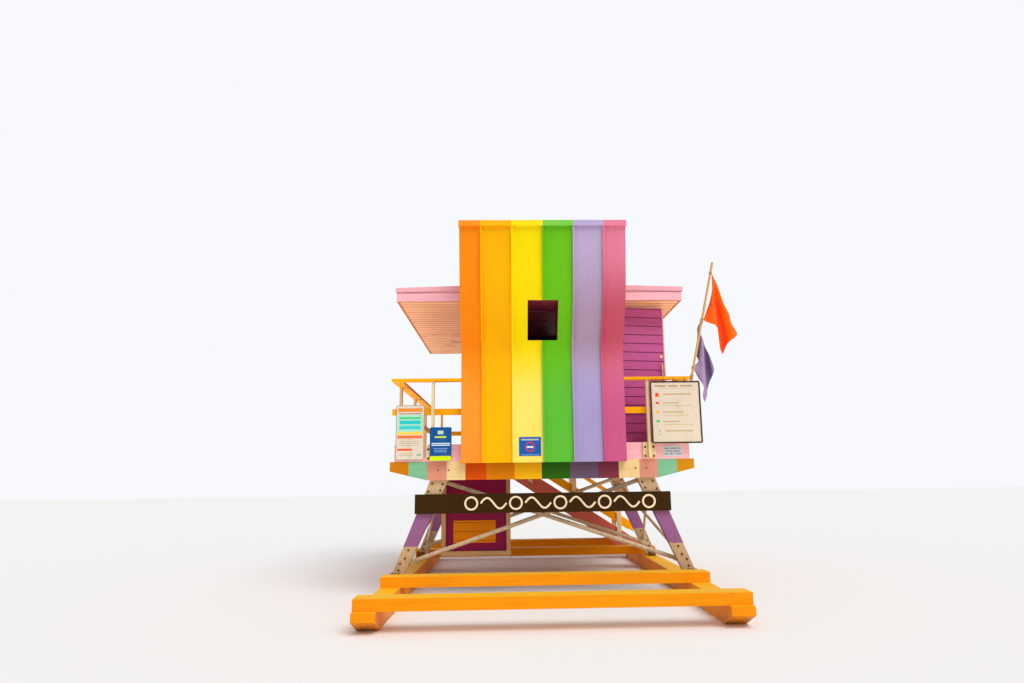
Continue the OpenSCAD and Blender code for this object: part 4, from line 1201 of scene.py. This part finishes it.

# %% [markdown]
# ## Flags
# Two flags hang from a leaning pole: a bright orange one tied at two corners, and a dull purple one
# blown behind the pole below it. Cloth could be simulated, but wind has set these folds, so each
# is a sheet cut to its outline, filled with small triangles and pushed into folds that spread from
# the corner it hangs by. Each point remembers how deep its fold is, and the cloth is painted darker
# in the hollows: that is painted shade. A thin thickness comes last.

# %% Cut a sheet's outline
POLE_LEAN = radians(13.4)
POLE_LENGTH = 2.7
pole_foot = Vector((mid_x + 1.947, face_y - 0.0203, deck_z + 0.010))
pole_turn = Matrix.Rotation(POLE_LEAN, 4, "Y")


def smooth_outline(corners, pinned, step=0.022, passes=4):
    """Walks round the corners in short steps, then rounds all but the pinned ones."""
    points, fixed = [], []
    for number, (start, end) in enumerate(zip(corners, corners[1:] + corners[:1])):
        start, end = Vector(start), Vector(end)
        count = max(1, round((end - start).length / step))
        points += [start.lerp(end, i / count) for i in range(count)]
        fixed += [number in pinned] + [False] * (count - 1)
    for _ in range(passes):
        following = points[1:] + points[:1]
        points = [p if fixed[i] else (points[i - 1] + 2 * p + following[i]) / 4 for i, p in enumerate(points)]
    return points


def inside(point, outline):
    crossed = False
    for a, b in zip(outline, outline[1:] + outline[:1]):
        if (a.y > point.y) != (b.y > point.y):
            edge_x = (b.x - a.x) * (point.y - a.y) / (b.y - a.y) + a.x
            crossed = crossed != (point.x < edge_x)
    return crossed


print("the pole stands at", tuple(round(v, 3) for v in pole_foot))

# %% Fill and fold a sheet
def cloth_sheet(name, corners, pinned, depth, material):
    """corners are (across, along) in the pole's frame; depth(across, along) is the push behind it."""
    outline = smooth_outline(corners, pinned)
    grid = 0.018
    low, high = [Vector((pick(p.x for p in outline), pick(p.y for p in outline))) for pick in (min, max)]
    fill = []
    for i in range(int((high.x - low.x) / grid) + 1):
        for j in range(int((high.y - low.y) / grid) + 1):
            point = low + Vector((i + 0.5 * (j % 2), j)) * grid
            if inside(point, outline) and min((point - p).length for p in outline) > grid * 0.6:
                fill.append(point)
    ring_edges = [(i, (i + 1) % len(outline)) for i in range(len(outline))]
    rim = [list(range(len(outline)))]
    places, _, faces, *_ = delaunay_2d_cdt(outline + fill, ring_edges, rim, 1, 1e-5)
    mesh = bpy.data.meshes.new(name)
    depths = [depth(p.x, p.y) for p in places]
    middle = sum(depths) / len(depths)
    reach = max(abs(d - middle) for d in depths)
    mesh.from_pydata([(p.x, d, p.y) for p, d in zip(places, depths)], [], faces)
    # how deep each point lies in its fold, which the material turns into painted shade
    fold = mesh.attributes.new("fold", "FLOAT", "POINT")
    fold.data.foreach_set("value", [0.5 + (d - middle) / (2 * reach) for d in depths])
    mesh.transform(Matrix.Translation(pole_foot) @ pole_turn)
    mesh.update()
    area = sum(face.area for face in mesh.polygons)
    mesh.polygons.foreach_set("use_smooth", [True] * len(mesh.polygons))
    sheet = add_object(name, mesh)
    mesh.materials.append(material)
    solid = sheet.modifiers.new("thickness", "SOLIDIFY")
    solid.thickness, solid.offset = 0.0016, 0.0
    print(name, len(faces), "triangles and", round(area, 4), "square metres of cloth")
    return sheet


print("the pole leans by", round(POLE_LEAN, 3), "radians, and so do the sheets")

# %% Dye the cloth and set its folds
def bunting(name, code, shade_code):
    finish = Finish(name)
    where = finish.place(turn=(0, -POLE_LEAN, 0))
    weave = finish.add("TexWave", {"bands_direction": "X"}, where, 420.0)[1]
    weft = finish.add("TexWave", {"bands_direction": "Z"}, where, 420.0)[1]
    sun = finish.noise(5.0, 4.0, 0.6)
    fold = finish.named("fold")[2]
    # the hollows of the folds are painted darker: painted shade
    colour = finish.mix(fold.step(0.3, 0.8) * 0.8 + sun.step(0.35, 0.75) * 0.2, code, shade_code)
    finish.coat(colour, 0.75 + sun * 0.15, weave + weft, 0.0003)
    finish.shader.inputs["Sheen Weight"].default_value = 0.15
    return finish.material


def fan(u, v, top, count, reach, height):
    """Folds that spread like a fan from the point they hang by, and grow with the distance."""
    across, along = u - top[0], top[1] - v
    share = min(1.0, (hypot(across, along) / reach) ** 1.5)
    return height * share * sin(count * atan2(across, along + 0.05))


def on_pole(shares):
    """Places given as shares of the pole's length, in metres across and along it."""
    return [(u * POLE_LENGTH, v * POLE_LENGTH) for u, v in shares]


print("halfway up the pole is", on_pole([(0, 0.5)])[0][1], "m")

# %% Hang the orange flag
HEM = 0.0173
orange_top, orange_foot = (HEM, 0.937 * POLE_LENGTH), (HEM, 0.667 * POLE_LENGTH)
orange = [orange_top, *on_pole([
    (0.051, 0.871), (0.1, 0.776), (0.1456, 0.7274), (0.1526, 0.6874), (0.2007, 0.64), (0.2015, 0.6215),
    (0.161, 0.579), (0.145, 0.507), (0.124, 0.526), (0.0885, 0.65)]),
    orange_foot, *on_pole([(0.026, 0.769), (0.0263, 0.843)])]


def orange_depth(u, v):
    near_foot = min(1.0, hypot(u - orange_foot[0], v - orange_foot[1]) / 0.25)
    return near_foot * (fan(u, v, orange_top, 24.0, 0.6, 0.032) + 0.012 * sin(9 * v + 14 * u))


flag_orange = cloth_sheet("flag_orange_cloth", orange, (0, 5, 8, 11), orange_depth,
                          bunting("bunting_orange", "#ff6c06", "#fa3400"))

# %% Hang the purple flag
purple = on_pole([
    (0, 0.663), (0.003, 0.603), (0.04, 0.545), (0.077, 0.488), (0.116, 0.416), (0.114, 0.383),
    (0.108, 0.36), (0.098, 0.3), (0.104, 0.269), (0.095, 0.23), (0.076, 0.263), (0.08, 0.311),
    (0.045, 0.346), (0.01, 0.3915), (-0.011, 0.394), (0.004, 0.4115), (0.03, 0.442), (0.0075, 0.4775),
    (-0.0115, 0.61), (-0.017, 0.625)])
purple_top, purple_tie = 0.665 * POLE_LENGTH, 0.40 * POLE_LENGTH


def purple_depth(u, v):
    folds = fan(u, v, (0.0, purple_top), 26.0, 0.35, 0.026)
    near_tie = min(1.0, hypot(u, v - purple_tie) / 0.2)
    return HEM + 0.004 + 0.030 * near_tie * min(1.0, (purple_top - v) / 0.3) + folds * near_tie


flag_purple = cloth_sheet("flag_purple_cloth", purple, (0, 9, 14), purple_depth,
                          bunting("bunting_purple", "#a88cb0", "#4a3862"))
for flag, flat, area, node in ((flag_orange, (0.62, 1.20), 0.260, "flag_orange"),
                               (flag_purple, (0.42, 1.20), 0.184, "flag_purple")):
    mount(flag, instead_of=[node])

# %% [markdown]
# ## Cord lashings
# The flags' corners are tied to the pole with a few turns of cord. A turn is a helix in the pole's own
# frame, and the tree sweeps a thin round section along it.

# %% Tie the corners
def turns(along, count=4, radius=0.021, rise=0.009, steps=14):
    angles = [tau * i / steps for i in range(count * steps + 1)]
    start = along - count * rise / 2
    spots = [(radius * cos(a), radius * sin(a), start + rise * a / tau) for a in angles]
    return [tuple(pole_foot + pole_turn @ Vector(spot)) for spot in spots], False


ties = [turns(share * POLE_LENGTH) for share in (0.937, 0.667, 0.655, 0.400)] + [turns(0.935, 7)]
rope_finish = Finish("cord_cream")
twist = rope_finish.noise(220.0, 2.0)
rope_finish.coat(rope_finish.mix(twist, "#dcb884", "#b08a54"), 0.85, twist, 0.0008)
ropes = grow(swept_rope, "pole_ties", path_mesh(*ties), rope_finish.material, Radius=0.0042, Sides=8)
mount(ropes)

# %% [markdown]
# ## Floor, world and light
# A plain pale floor catches the shadow. The world is a soft even light, and one wide sun from
# the upper right of the land side gives the shapes their shading. Bright sand throws warm light
# back up under the deck and the roof, so two flat lamps, one each side, stand in for the sand.

# %% Set the floor and the sky
bpy.ops.mesh.primitive_plane_add(size=120, location=(0, 0, 0))
floor = bpy.context.object
floor.name = "floor"
finish = Finish("floor_pale")
floor.data.materials.append(finish.coat((0.88, 0.87, 0.85, 1), 0.9))
floor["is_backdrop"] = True

world = bpy.data.worlds.new("soft_sky")
bpy.context.scene.world = world
world.use_nodes = True
sky = Graph()
sky.nodes, sky.links = world.node_tree.nodes, world.node_tree.links
seen = sky.add("LightPath", {})[0]
soft = sky.add("Background", {}, (0.95, 0.97, 1.0, 1), 0.60)[0]
bright = sky.add("Background", {}, (0.93, 0.95, 0.98, 1), 1.0)[0]
sky.feed(sky.nodes["World Output"].inputs[0], sky.add("MixShader", {}, seen, soft, bright)[0])
print(floor.name, "under", world.name)

# %% Set the lamps
sun_data = bpy.data.lights.new("key", "SUN")
sun_data.energy = 1.85
sun_data.angle = radians(36)
sun = add_object("key", sun_data)
sun.rotation_euler = Euler((radians(38), radians(6), radians(22)))

for side, name in ((-1, "bounce_left"), (1, "bounce_right")):
    glow_data = bpy.data.lights.new(name, "AREA")
    glow_data.shape, glow_data.size, glow_data.size_y = "RECTANGLE", 4.0, 8.0
    glow_data.energy = 190
    glow_data.color = (1.0, 0.90, 0.78)
    glow = add_object(name, glow_data)
    glow.location = (mid_x + side * 4.4, -0.2, 0.5)
    glow.rotation_euler = Euler((pi, 0, 0))
    glow.visible_camera = glow.visible_glossy = False
bpy.context.scene.view_settings.view_transform = "Standard"

# %% [markdown]
# ## The dressed tower's box
# Apart from a little cloth, the dressed tower stays inside the CAD model's box. The last cell
# measures the box round everything that is shown.

# %% Measure the box round what is shown
low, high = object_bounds()
